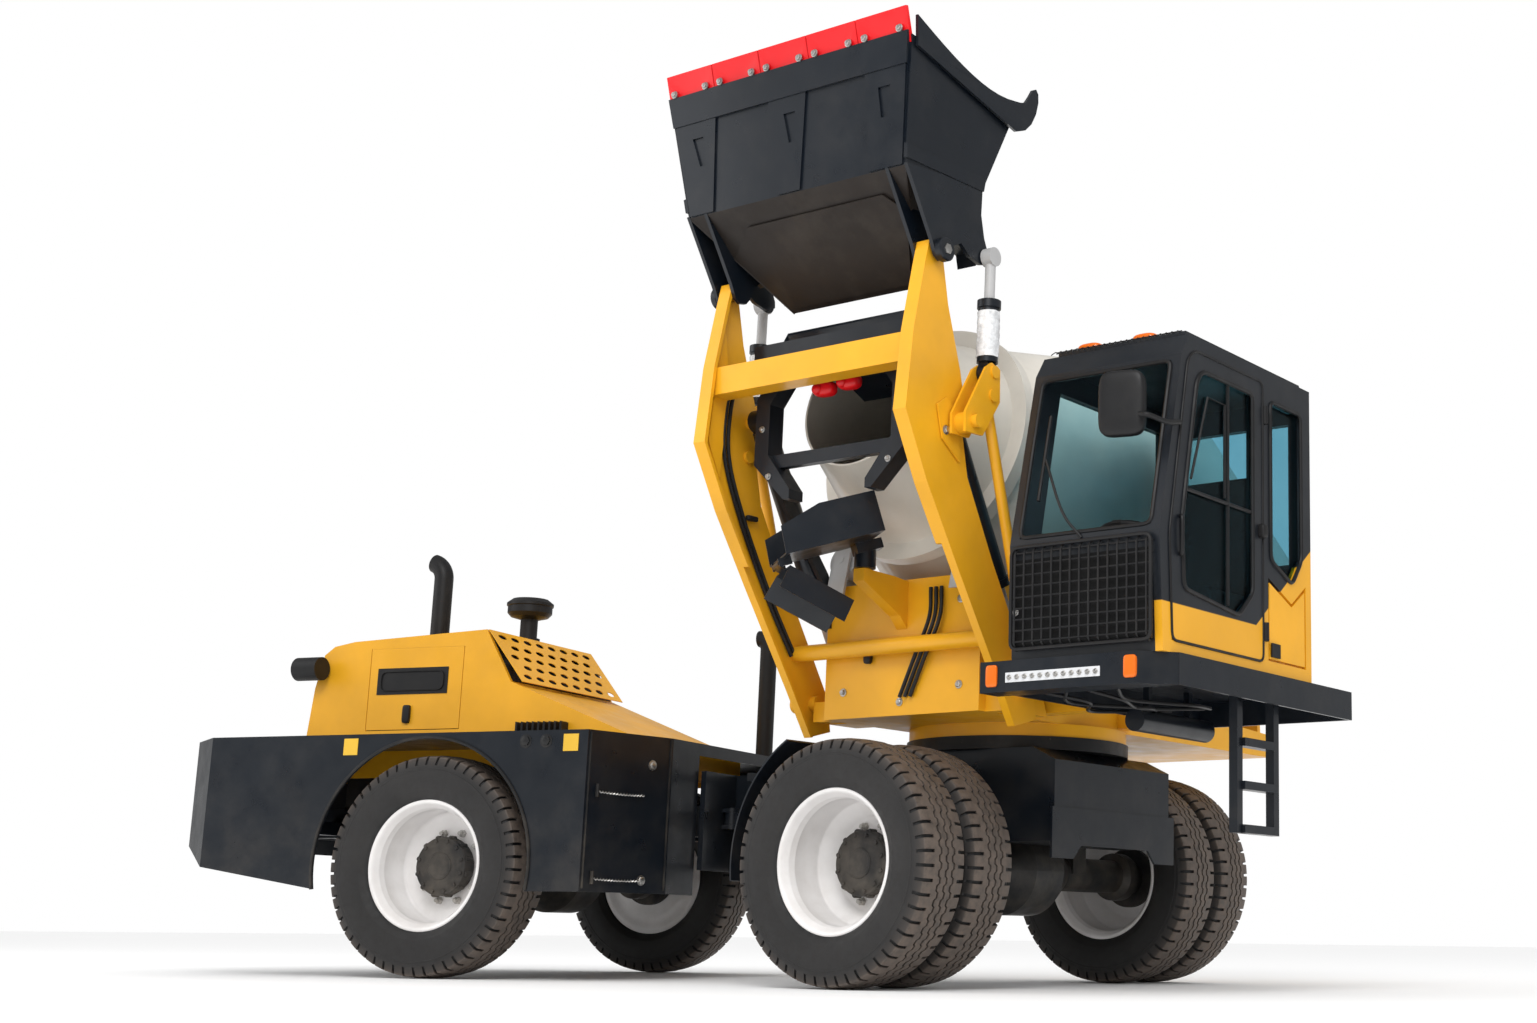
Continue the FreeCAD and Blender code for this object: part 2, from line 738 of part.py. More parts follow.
def cylinder_barrel(name, radius, length, eye, width, rod_radius):
    """A barrel along X from its eye at the origin: hollow, with its gland closed round the rod."""
    neck = box(name + "_neck", ("0", f"-{eye}*0.7", f"-{width}/2"), ("50", f"{eye}*0.7", f"{width}/2"))
    tube = rod(name + "_tube", "X", radius, ("46", "0", "0"), f"{length} - 46")
    gland = rod(name + "_gland", "X", f"{radius} + 6", (f"{length} - 35", "0", "0"), "35")
    knuckle = rod(name + "_eye", "Z", eye, ("0", "0", f"-{width}/2"), width)
    bore = rod(name + "_bore", "Z", "pin_radius + 0.5", ("0", "0", f"-{width}"), f"2*{width}")
    inside = rod(name + "_inside", "X", f"{radius} - 10", ("cylinder_base", "0", "0"),
                 f"{length} - cylinder_base - 35")
    mouth = rod(name + "_mouth", "X", f"{rod_radius} + 0.5", (f"{length} - 40", "0", "0"), "50")
    return cut(name, fuse(name + "_weld", neck, tube, gland, knuckle), bore, inside, mouth)


def cylinder_rod(name, radius, start, end, eye, width, bore_radius):
    """A rod along X from its piston at start to its eye at end, which is left open at its pin."""
    piston = rod(name + "_piston", "X", f"{bore_radius} - 0.5", (start, "0", "0"), "16")
    bar = rod(name + "_bar", "X", radius, (f"{start} + 12", "0", "0"), f"({end}) - ({start}) - {eye}")
    knuckle = rod(name + "_eye", "Z", eye, (end, "0", f"-{width}/2"), width)
    return fuse(name, piston, bar, knuckle)


def steering_span(degrees, sign):
    """From the engine module's steering pin to the chassis' one, with the machine bent by degrees."""
    away = math.radians(degrees)
    pin_x = value("steer_reach")
    pin_y = sign * value("steer_out")
    seen_x = pin_x * math.cos(away) + pin_y * math.sin(away)
    seen_y = -pin_x * math.sin(away) + pin_y * math.cos(away)
    return seen_x + value("steer_foot"), seen_y - pin_y


STEER_CLOSED = math.hypot(*steering_span(-value("steer_lock"), 1))
for side, sign in SIDES:
    span = steering_span(value("articulation_angle"), sign)
    length = math.hypot(*span)
    slant = Rotation(Vector(0, 0, 1), math.degrees(math.atan2(span[1], span[0])))
    place = at("-steer_foot", f"{sign}*steer_out", "steer_height", slant)
    node(f"steering_barrel_{side}", "engine", [
        cylinder_barrel(f"steer_barrel_{side}", "40", f"({STEER_CLOSED:.3f} - 52)", "38", "60", "22")], place)
    node(f"steering_rod_{side}", "engine", [
        cylinder_rod(f"steer_rod_{side}", "22", f"(cylinder_base - 5 + {length - STEER_CLOSED:.3f})",
                     f"{length:.3f}", "36", "60", "30")], place)

# ---------------------------------------------------------------- slewing upper frame

PITCH = Rotation(Vector(0, 1, 0), -value("drum_pitch"))
MOUTH = at("drum_mouth_x", "0", "drum_mouth_z", PITCH)

turntable = rod("turntable", "Z", "ring_radius - 10", ("0", "0", "deck_height + 60.5"),
                "base_bottom - deck_height - 60.5")
base = box("base_plate", ("-1700", "-cheek_out", "base_bottom"), ("front_plate", "cheek_out", "base_top"))
front = box("front_plate_sheet", ("front_plate - 20", "-cheek_out", "base_top"),
            ("front_plate", "cheek_out", "front_plate_top"))
cheeks = [
    plate(f"cheek_{side}", "XZ", (
        ("front_plate", "base_bottom"),
        ("front_plate", "front_plate_top"),
        ("640", "front_plate_top"),
        ("480", "1420"),
        ("-1700", "1300"),
        ("-1700", "base_bottom"),
    ), "cheek_skin", f"{sign}*(cheek_out - cheek_skin/2)")
    for side, sign in SIDES
]
tail_beam = plate("tail_beam", "XY", (
    ("-1690", "-cheek_out"), ("-1690", "cheek_out"), ("-1800", "cheek_out"),
    ("-1960", "280"), ("-1960", "-280"), ("-1800", "-cheek_out"),
), "45", "base_bottom + 82.5")
pedestal = cut("tail_pedestal_seat", plate("tail_pedestal", "YZ", (
    ("-260", "base_bottom + 60"),
    ("-230", "1900"),
    ("-120", "2080"),
    ("120", "2080"),
    ("230", "1900"),
    ("260", "base_bottom + 60"),
), "30", "-1915"), group("gear_hole_set", [
    rod("gear_hole", "X", "170.3", ("-drum_length - 400", "0", "0"), "400")], MOUTH))
outriggers = [
    box("outrigger_front", ("420", "cheek_out - 5", "platform_bottom + 5"),
        ("520", "820", "platform_bottom + 95")),
    box("outrigger_rear", ("-300", "cheek_out - 5", "platform_bottom + 5"),
        ("-200", "820", "platform_bottom + 95")),
]
FOOT = (
    ("lift_foot_x - 150", "base_bottom + 5"),
    ("lift_foot_x + 60", "base_bottom + 5"),
    ("lift_foot_x + 45", "lift_foot_z + 30"),
    ("lift_foot_x - 45", "lift_foot_z + 30"),
)
feet = []
for side, sign in SIDES:
    feet.append(box(f"pivot_block_{side}", ("arm_pivot_x - 45", f"{sign}*(lift_out - 17.5) - 57.5",
                                            "base_bottom"),
                    ("arm_pivot_x + 30", f"{sign}*(lift_out - 17.5) + 57.5", "arm_pivot_z + 2")))
    feet.append(rod(f"arm_pin_{side}", "Y", "pin_radius + 8",
                    ("arm_pivot_x", f"{sign}*(arm_out - 23.5) - 33.5", "arm_pivot_z"), "67"))
    feet.append(rod(f"arm_pin_end_{side}", "Y", "pin_radius",
                    ("arm_pivot_x", f"{sign}*650 - 50", "arm_pivot_z"), "100"))
    feet.append(box(f"lift_shelf_{side}", ("lift_foot_x - 150", f"{sign}*(lift_out - 20) - 60",
                                           "base_bottom"),
                    ("lift_foot_x + 40", f"{sign}*(lift_out - 20) + 60", "base_top")))
    for tag, thick, out in (("in", "20", "lift_out - 43.6"), ("out", "8", "lift_out + 37.6")):
        feet.append(plate(f"lift_foot_{tag}_{side}", "XZ", FOOT, thick, f"{sign}*({out})"))
bridge = box("roller_bridge", ("800", "-cheek_out + 5", "1660"),
             ("front_plate - 15", "cheek_out - 5", "1720"))
chute_bracket = plate("chute_bracket", "XZ", (
    ("front_plate - 5", "1560"),
    ("front_plate + 55", "1620"),
    ("chute_turn_x - 170", "chute_turn_z - 160"),
    ("chute_turn_x + 40", "chute_turn_z - 60"),
    ("chute_turn_x + 40", "chute_turn_z - 5"),
    ("chute_turn_x - 170", "chute_turn_z - 10"),
    ("front_plate - 5", "chute_turn_z - 20"),
), "60")
chute_post = rod("chute_post", "Z", "chute_pin_radius", ("chute_turn_x", "0", "chute_turn_z - 20"), "95")
frame_pieces = [chute_bracket, chute_post, bridge, turntable, base, front, *cheeks, tail_beam, pedestal,
                *outriggers, *feet]
node("upper_frame", "upper", [fuse("upper_frame_weld", *frame_pieces)])

platform = cut(
    "platform_shape",
    box("platform_block", ("-platform_rear", "820", "platform_bottom"),
        ("platform_front", "platform_out", "platform_top")),
    box("platform_hollow", ("-platform_rear + 12", "832", "platform_bottom - 1"),
        ("platform_front - 12", "platform_out - 12", "platform_top - 12")),
)
bumper = plate("bumper", "XY", (
    ("platform_front", "740"),
    ("platform_front + 125", "740"),
    ("platform_front + 125", "platform_out - 130"),
    ("platform_front", "platform_out - 5"),
), "platform_top - platform_bottom", "(platform_top + platform_bottom)/2")
air_tank = rod("air_tank", "X", "50", ("-80", "1000", "platform_bottom - 46"), "600")
tank_straps = [
    box(f"tank_strap_{number}", (f"{x}", "985", "platform_bottom - 46"),
        (f"{x} + 30", "1015", "platform_top - 6"))
    for number, x in enumerate((60, 400))
]
node("cab_platform", "upper", [fuse("platform_weld", platform, bumper, air_tank, *tank_straps)])

ladder_bars = [
    box("ladder_front_bar", ("500", "1485", "655"), ("545", "1525", "platform_top - 12.3")),
    box("ladder_rear_bar", ("185", "1485", "655"), ("230", "1525", "platform_top - 12.3")),
]
ladder_steps = [
    box(f"ladder_step_{number}", ("225", "1485", f"655 + {number}*180"),
        ("505", "1540", f"690 + {number}*180"))
    for number in range(3)
]
node("access_ladder", "upper", [fuse("ladder_weld", *ladder_bars, *ladder_steps)])

# ---------------------------------------------------------------- cab


def cab_side(inset):
    """The cab's outline from the side: upright grille, leaning windscreen, flat roof."""
    return (
        (f"{inset}", f"platform_top + {inset}"),
        (f"cab_front - 30 - {inset}", f"platform_top + {inset}"),
        (f"cab_front - {inset}", "cab_sill"),
        (f"cab_front - 160 - {inset}", f"cab_roof - 95 - 0.5*{inset}"),
        (f"cab_front - 220 - 0.5*{inset}", f"cab_roof - {inset}"),
        (f"{inset}", f"cab_roof - {inset}"),
    )


DOOR = (
    ("440", "platform_top + 50"),
    ("cab_front - 95", "platform_top + 50"),
    ("cab_front - 70", "cab_sill"),
    ("cab_front - 205", "cab_roof - 110"),
    ("cab_front - 260", "cab_roof - 60"),
    ("440", "cab_roof - 60"),
)
DOOR_GLASS = (
    ("530", "cab_sill - 150"),
    ("650", "cab_sill - 260"),
    ("cab_front - 180", "cab_sill - 210"),
    ("cab_front - 160", "cab_sill + 60"),
    ("cab_front - 275", "cab_roof - 185"),
    ("cab_front - 320", "cab_roof - 135"),
    ("530", "cab_roof - 135"),
)
QUARTER = (
    ("90", "cab_sill + 60"),
    ("180", "cab_sill - 60"),
    ("370", "cab_sill + 20"),
    ("370", "cab_roof - 130"),
    ("90", "cab_roof - 130"),
)
OFFSIDE = (
    ("150", "cab_sill + 40"),
    ("cab_front - 160", "cab_sill + 40"),
    ("cab_front - 290", "cab_roof - 140"),
    ("150", "cab_roof - 140"),
)
SCREEN = (
    ("cab_in + 45", "cab_sill + 25"),
    ("cab_out - 45", "cab_sill + 25"),
    ("cab_out - 45", "cab_roof - 120"),
    ("cab_in + 45", "cab_roof - 120"),
)
REAR = (
    ("cab_in + 90", "cab_sill + 60"),
    ("cab_out - 90", "cab_sill + 60"),
    ("cab_out - 90", "cab_roof - 150"),
    ("cab_in + 90", "cab_roof - 150"),
)


def cab_shell():
    """The cab's welded shell: hollow, with the screen, windows and doorway cut through."""
    middle = "(cab_in + cab_out)/2"
    outside = plate("cab_outside", "XZ", cab_side("0"), "cab_out - cab_in", middle)
    inside = plate("cab_inside", "XZ", cab_side("cab_wall"), "cab_out - cab_in - 2*cab_wall", middle)
    doorway = plate("cab_doorway", "XZ", DOOR, "60", "cab_out")
    quarter = plate("cab_quarter", "XZ", QUARTER, "200", "cab_out")
    offside = plate("cab_offside", "XZ", OFFSIDE, "200", "cab_in")
    screen = plate("cab_screen", "YZ", SCREEN, "400", "cab_front - 60")
    rear = plate("cab_rear", "YZ", REAR, "200", "0")
    through = plate("cab_through", "XZ", DOOR_HOLE, "200", "cab_out")
    return cut("cab", outside, inside, doorway, through, quarter, offside, screen, rear)


DOOR_HOLE = (
    ("470", "platform_top + 80"),
    ("cab_front - 125", "platform_top + 80"),
    ("cab_front - 100", "cab_sill"),
    ("cab_front - 230", "cab_roof - 130"),
    ("cab_front - 280", "cab_roof - 90"),
    ("470", "cab_roof - 90"),
)
LOCKER = (
    ("62", "platform_top + 70"),
    ("380", "platform_top + 70"),
    ("380", "cab_sill - 80"),
    ("180", "cab_sill - 160"),
    ("62", "cab_sill - 78"),
)
recess = plate("locker_recess", "XZ", (
    ("50", "platform_top + 60"),
    ("390", "platform_top + 60"),
    ("390", "cab_sill - 60"),
    ("180", "cab_sill - 145"),
    ("50", "cab_sill - 50"),
), "40", "cab_out")
grille = box("grille_shape", ("cab_front - 40", "cab_in + 20", "platform_top + 50"),
             ("cab_front - 5", "cab_out - 40", "cab_sill - 60"))
guard = box("guard_shape", ("40", "cab_in + 60", "cab_roof - 5"),
            ("cab_front - 240", "cab_out - 30", "cab_roof + 25"))
node("cab_shell", "upper", [fuse("cab_weld", cut("cab_side_recess", cab_shell(), recess), grille, guard)])
node("locker_door", "upper", [plate("locker_leaf", "XZ", LOCKER, "19.2", "cab_out - 10")])


def pane(name, plane, opening, centre):
    """A pane of glass that fills an opening's outline."""
    return plate(name, plane, opening, "glass", centre)


screen_pane = common(
    "screen_pane",
    cut("screen_sheet",
        plate("screen_slab", "XZ", cab_side("12"), "cab_out - cab_in - 20", "(cab_in + cab_out)/2"),
        plate("screen_back", "XZ", cab_side("12 + glass"), "cab_out - cab_in", "(cab_in + cab_out)/2")),
    plate("screen_window", "YZ", SCREEN, "400", "cab_front - 60"),
)
node("cab_glass", "upper", [
    screen_pane,
    pane("quarter_pane", "XZ", QUARTER, "cab_out - 20"),
    pane("offside_pane", "XZ", OFFSIDE, "cab_in + 20"),
    pane("rear_pane", "YZ", REAR, "20"),
])

door_leaf = plate("door_leaf", "XZ", [
    ("445", "platform_top + 55"), ("cab_front - 100", "platform_top + 55"),
    ("cab_front - 75", "cab_sill"), ("cab_front - 209", "cab_roof - 113"),
    ("cab_front - 262", "cab_roof - 65"), ("445", "cab_roof - 65")], "31.4", "cab_out - 13.9")
door_hole = plate("door_hole", "XZ", DOOR_GLASS, "100", "cab_out")
node("cab_door", "upper", [cut("door_shape", door_leaf, door_hole)])
node("door_glass", "upper", [pane("door_pane", "XZ", DOOR_GLASS, "cab_out - 12")])

node("operator_seat", "upper", [
    fuse("seat_weld",
         box("seat_plinth", ("200", "1080", "platform_top + 40"), ("520", "1380", "platform_top + 250")),
         box("seat_cushion", ("170", "1000", "platform_top + 250"), ("640", "1460", "platform_top + 370")),
         box("seat_back", ("110", "1010", "platform_top + 300"), ("220", "1450", "platform_top + 950")))
])
wheel_rim = doc.addObject("Part::Torus", "steering_ring")
bind(wheel_rim, Radius1="170", Radius2="14")
steering = group("steering_top", [
    wheel_rim,
], Placement(Vector(value("cab_front") - 400, 1230, value("cab_sill") + 30), Rotation(Vector(0, 1, 0), -25)))
console = plate("steering_console", "XZ", (
    ("cab_front - 90", "platform_top + 40"),
    ("cab_front - 60", "cab_sill - 60"),
    ("cab_front - 250", "cab_sill - 40"),
    ("cab_front - 330", "cab_sill - 120"),
    ("cab_front - 210", "cab_sill - 180"),
    ("cab_front - 230", "platform_top + 40"),
), "300", "1230")
spoke = box("steering_spoke", ("-184", "-22", "-8"), ("184", "22", "8"))
spoke_set = group("steering_spokes", [spoke], steering.Placement)
column = rod("steering_column", "Z", "24", ("0", "0", "-190"), "195")
column_set = group("steering_stem", [column], steering.Placement)
node("steering_wheel", "upper", [fuse("steering_weld", console, steering, spoke_set, column_set)])
mirror = fuse(
    "mirror_weld",
    box("mirror_head", ("cab_front + 20", "cab_out - 250", "2180"),
        ("cab_front + 75", "cab_out - 60", "2460")),
    rod("mirror_arm", "X", "10", ("cab_front - 130", "cab_out - 22", "2250"), "180"),
    rod("mirror_bend", "Y", "10", ("cab_front + 46", "cab_out - 70", "2250"), "58"),
)
node("door_mirror", "upper", [
    cut("mirror_shape", mirror, plate("mirror_seat", "XZ", cab_side("-0.3"), "cab_out - cab_in + 20",
                                      "(cab_in + cab_out)/2"))
])

# ---------------------------------------------------------------- drum

outer = (
    ("0", "drum_mouth_radius"),
    ("-track_at + 35", "drum_mouth_radius + (drum_radius - drum_mouth_radius)*(track_at - 35)/drum_cone"),
    ("-track_at + 35", "track_radius"),
    ("-track_at - 35", "track_radius"),
    ("-track_at - 35", "drum_mouth_radius + (drum_radius - drum_mouth_radius)*(track_at + 35)/drum_cone"),
    ("-drum_cone", "drum_radius"),
    ("-drum_belly", "drum_radius"),
    ("-drum_length", "drum_tail_radius"),
    ("-drum_length", "0"),
)
inner = (
    ("-drum_length + drum_skin", "0"),
    ("-drum_length + drum_skin", "drum_tail_radius - 8"),
    ("-drum_belly", "drum_radius - drum_skin"),
    ("-drum_cone", "drum_radius - drum_skin"),
    ("0", "drum_mouth_radius - drum_skin"),
)
node("drum", "upper", [turned("drum_shape", outer + inner, about="X")], MOUTH)

gear = turned("drum_gear", (
    ("-drum_length - 0.5", "0"),
    ("-drum_length - 0.5", "150"),
    ("-drum_length - 40", "170"),
    ("-drum_length - 190", "170"),
    ("-drum_length - 215", "120"),
    ("-drum_length - 215", "0"),
), about="X")
node("drum_gearbox", "upper", [gear], MOUTH)


def rollers():
    """Two carrying rollers under the drum's track, each between the cheeks of its fork."""
    pieces = []
    for side, sign in SIDES:
        swing = math.radians(33)
        reach = value("track_radius + roller_radius") + 0.3
        roller = rod(f"roller_{side}", "X", "roller_radius", ("-track_at - 35", "0", "0"), "70")
        shaft = rod(f"roller_shaft_{side}", "X", "20", ("-track_at - 60", "0", "0"), "120")
        cheeks = [
            box(f"fork_{side}_{tag}", (f"-track_at + {x}", "-50", "-260"),
                (f"-track_at + {x} + 14", "50", "30"))
            for tag, x in (("front", 42), ("rear", -56))
        ]
        place = Placement(Vector(0, sign * reach * math.sin(swing), -reach * math.cos(swing)), Rotation())
        pieces.append(group(f"roller_set_{side}", [fuse(f"roller_weld_{side}", roller, shaft, *cheeks)],
                            place))
    return pieces


roller_sets = group("roller_sets", rollers(), MOUTH)
node("drum_rollers", "upper", [
    cut("rollers_seated", roller_sets, box("roller_floor", ("500", "-500", "1400"),
                                           ("1200", "500", "1720.3")))
])

# ---------------------------------------------------------------- hopper and chutes


def hopper_shape():
    """A sheet hopper: a wide tray under the bucket and a spout that reaches into the drum's mouth."""
    tray_out = plate("tray_out", "XZ", (
        ("1240", "2700"), ("1450", "2700"), ("1450", "2810"), ("1300", "2825"), ("1240", "2930")), "910")
    tray_in = plate("tray_in", "XZ", (
        ("1248", "2708"), ("1442", "2708"), ("1442", "2830"), ("1300", "2850"), ("1248", "2960")), "894")
    lip = "drum_mouth_z + drum_mouth_radius"
    width = "2*drum_mouth_radius - 328"
    spout_out = plate("spout_out", "XZ", (
        ("1040", f"{lip} - 248"), ("1250", f"{lip} - 158"), ("1250", f"{lip} - 58"), ("1040",
                                                                                      f"{lip} - 148")), width)
    spout_in = plate("spout_in", "XZ", (
        ("1000", f"{lip} - 257"), ("1262", f"{lip} - 145"), ("1262", f"{lip} - 61"), ("1000",
                                                                                      f"{lip} - 173")),
        f"{width} - 16")
    return cut("hopper_sheet", fuse("hopper_weld", tray_out, spout_out), tray_in, spout_in)


node("hopper", "upper", [hopper_shape()])
portal = plate("portal_outside", "YZ", (
    ("-250", "2088"), ("-430", "2260"), ("-430", "2560"), ("-330", "2699.7"),
    ("330", "2699.7"), ("430", "2560"), ("430", "2260"), ("250", "2088"),
), "90", "1400")
portal_hole = plate("portal_inside", "YZ", (
    ("-215", "2030"), ("-215", "2130"), ("-350", "2300"), ("-350", "2530"), ("-280", "2620"),
    ("280", "2620"), ("350", "2530"), ("350", "2300"), ("215", "2130"), ("215", "2030"),
), "200", "1400")
portal_legs = [
    plate(f"portal_leg_{side}", "XZ", (
        ("front_plate + 0.3", "1600"), ("front_plate + 40", "1600"), ("front_plate + 60", "1790"),
        ("1360", "2240"), ("1360", "2330"), ("front_plate + 40", "1850"), ("front_plate + 0.3", "1790"),
    ), "24", f"{sign}*428")
    for side, sign in SIDES
]
crossbar = box("portal_crossbar", ("1380", "-345", "2240"), ("1420", "345", "2300"))
node("hopper_frame", "upper", [
    fuse("hopper_frame_weld", cut("portal", portal, portal_hole), *portal_legs, crossbar)
])


def chute_wall(side, sign):
    """A sheet wall, high at the drum's mouth and low at the outlet."""
    return plate(f"chute_wall_{side}", "XZ", (
        ("-20", "0"), ("-20", "180"), ("230", "180"), ("chute_length - 10", "122"), ("chute_length", "0"),
    ), "chute_skin", f"{sign}*(chute_half - chute_skin/2)")


def knuckle_lugs(name):
    """Two lugs under the chute's lower edge, with the pin that its extension hangs on."""
    lugs = [
        box(f"{name}_lug_{side}", ("chute_length - 40", f"{sign}*68 - 7", "-34"),
            ("chute_length + 16", f"{sign}*68 + 7", "1"))
        for side, sign in SIDES
    ]
    pin = rod(name + "_pin", "Y", "8", ("chute_length + 4", "-72", "-18"), "144")
    return [*lugs, pin]


SWING = Rotation(Vector(0, 0, 1), value("chute_yaw"))
chute_frame = at("chute_turn_x", "0", "chute_turn_z", SWING)
chute_side = value("chute_offset")
upper_tilt = Placement(Vector(0, chute_side, 118), Rotation(Vector(0, 1, 0), 18))
fold_place = upper_tilt * Placement(Vector(value("chute_length") + 4, 0, -18), Rotation(Vector(0, 1, 0), 137))
chute_floor = box("chute_floor", ("-20", "-chute_half", "0"), ("chute_length", "chute_half", "chute_skin"))
chute_walls = [chute_wall(side, sign) for side, sign in SIDES]
saddle = box("chute_saddle", ("-60", "-chute_offset - 48", "-45"), ("60", "-chute_offset + 48", "1"))
upper_trough = group("upper_trough", [
    fuse("upper_trough_weld", chute_floor, *chute_walls, saddle, *knuckle_lugs("chute"))
], upper_tilt)
boss = rod("swing_boss", "Z", "48", ("0", "0", "0"), "100")
pin_bore = rod("swing_bore", "Z", "chute_pin_radius + 0.5", ("0", "0", "-1"), "81")
node("discharge_chute", "upper", [cut("discharge", fuse("discharge_weld", boss, upper_trough), pin_bore)],
     chute_frame)


def trough(name, first, length, width, depth, taper):
    """A sheet chute along +X: a floor and two flared walls, open at both ends."""
    middle = f"({first}) + ({length})/2"
    section = plate(name + "_outside", "YZ", (
        (f"-{width}", depth), (f"-{width}*{taper}", "0"), (f"{width}*{taper}", "0"), (width, depth),
    ), length, middle)
    hollow = plate(name + "_inside", "YZ", (
        (f"-{width} + chute_skin", f"{depth} + 1"), (f"-{width}*{taper} + chute_skin", "chute_skin"),
        (f"{width}*{taper} - chute_skin", "chute_skin"), (f"{width} - chute_skin", f"{depth} + 1"),
    ), f"{length} + 10", middle)
    return cut(name, section, hollow)


ext_knuckle = cut(
    "ext_knuckle",
    fuse("ext_knuckle_weld", rod("ext_tube", "Y", "15", ("0", "-60", "0"), "120"),
         box("ext_tongue", ("0", "-60", "9"), ("40", "60", "15"))),
    rod("ext_bore", "Y", "8.5", ("0", "-80", "0"), "160"),
)
ext_trough = group("ext_trough", [trough("chute_b", "30", "310", "175", "110", "0.8")],
                   Placement(Vector(0, 0, 9), Rotation()))
node("chute_extension", "upper", [fuse("extension_weld", ext_knuckle, ext_trough)], chute_frame * fold_place)

# ---------------------------------------------------------------- loader arms

ARM = (
    ("arm_pivot_x - 125", "arm_pivot_z - 120"),
    ("arm_pivot_x + 30", "arm_pivot_z - 160"),
    ("arm_pivot_x + 170", "arm_pivot_z + 50"),
    ("arm_pivot_x + 470", "arm_pivot_z + 480"),
    ("arm_pivot_x + 680", "arm_pivot_z + 790"),
    ("arm_pivot_x + 835", "arm_pivot_z + 1070"),
    ("arm_pivot_x + 800", "arm_pivot_z + 1420"),
    ("bucket_pin_x + 68", "bucket_pin_z - 60"),
    ("bucket_pin_x + 45", "bucket_pin_z + 40"),
    ("bucket_pin_x + 10", "bucket_pin_z + 58"),
    ("bucket_pin_x - 38", "bucket_pin_z + 42"),
    ("bucket_pin_x - 95", "bucket_pin_z - 210"),
    ("lift_cap_x - 30", "lift_cap_z + 85"),
    ("lift_cap_x - 55", "lift_cap_z - 10"),
    ("lever_pin_x - 60", "lever_pin_z - 40"),
    ("arm_pivot_x + 410", "arm_pivot_z + 860"),
    ("arm_pivot_x + 220", "arm_pivot_z + 530"),
    ("arm_pivot_x - 100", "arm_pivot_z + 30"),
)


def arm(side, sign):
    """One boomerang arm: an outer web plate and a flange along its front edge."""
    web = plate(f"arm_web_{side}", "XZ", ARM, "arm_web", f"{sign}*(arm_out - arm_web/2)")
    back = [(f"{x} - 18", z) for x, z in ARM]
    block = plate(f"arm_block_{side}", "XZ", ARM, "arm_flange - 5", f"{sign}*(arm_out - arm_flange/2 - 2.5)")
    hollow = plate(f"arm_hollow_{side}", "XZ", back, "arm_flange + 40",
                   f"{sign}*(arm_out - arm_flange/2 - 2.5)")
    relief = box(
        f"arm_relief_{side}",
        ("arm_pivot_x - 300", f"{sign}*(arm_out - arm_flange/2 - 40) - arm_flange/2", "arm_pivot_z - 200"),
        ("arm_pivot_x + 700", f"{sign}*(arm_out - arm_flange/2 - 40) + arm_flange/2", "arm_pivot_z + 560"),
    )
    flange = cut(f"arm_flange_{side}", block, hollow, relief)
    return web, flange


arm_pieces = []
for side, sign in SIDES:
    arm_pieces.extend(arm(side, sign))
cross_tube = box("cross_tube", ("arm_pivot_x + 680", "-arm_out + 10", "arm_pivot_z + 1295"),
                 ("arm_pivot_x + 780", "arm_out - 10", "arm_pivot_z + 1420"))
low_pipe = rod("low_pipe", "Y", "37", ("arm_pivot_x + 135", "-arm_out + 10", "arm_pivot_z + 215"),
               "2*arm_out - 20")
arm_bores = [
    rod("arm_pivot_bore", "Y", "pin_radius + 8.5", ("arm_pivot_x", "-arm_out - 50", "arm_pivot_z"),
        "2*arm_out + 100"),
    rod("bucket_pin_bore", "Y", "pin_radius + 0.5", ("bucket_pin_x", "-arm_out - 50", "bucket_pin_z"),
        "2*arm_out + 100"),
    rod("lever_pin_bore", "Y", "pin_radius + 0.5", ("lever_pin_x", "-arm_out - 50", "lever_pin_z"),
        "2*arm_out + 100"),
]
lift_pins = [
    rod(f"lift_pin_{side}", "Y", "pin_radius",
        ("lift_cap_x", f"{sign}*(arm_out - 75) - 70", "lift_cap_z"), "140")
    for side, sign in SIDES
]
node("loader_arms", "upper", [
    fuse("arms_all", cut("arms_shape", fuse("arms_weld", *arm_pieces, cross_tube, low_pipe), *arm_bores),
         *lift_pins)
])


SLANT = {
    "lift": math.atan2(value("lift_cap_z - lift_foot_z"), value("lift_cap_x - lift_foot_x")),
    "tilt": math.atan2(value("tilt_eye_z - tilt_foot_z"), value("tilt_eye_x - tilt_foot_x")),
}
LIFT_LENGTH = math.hypot(value("lift_cap_z - lift_foot_z"), value("lift_cap_x - lift_foot_x"))
TILT_LENGTH = math.hypot(value("tilt_eye_z - tilt_foot_z"), value("tilt_eye_x - tilt_foot_x"))


def leaning(x, z, angle, out):
    """A place on the loader's side, with X along the cylinder and Z across the machine."""
    turn = Rotation(Vector(0, 1, 0), -math.degrees(angle)) * Rotation(Vector(1, 0, 0), 90)
    return Placement(Vector(value(x), value(out), value(z)), turn)


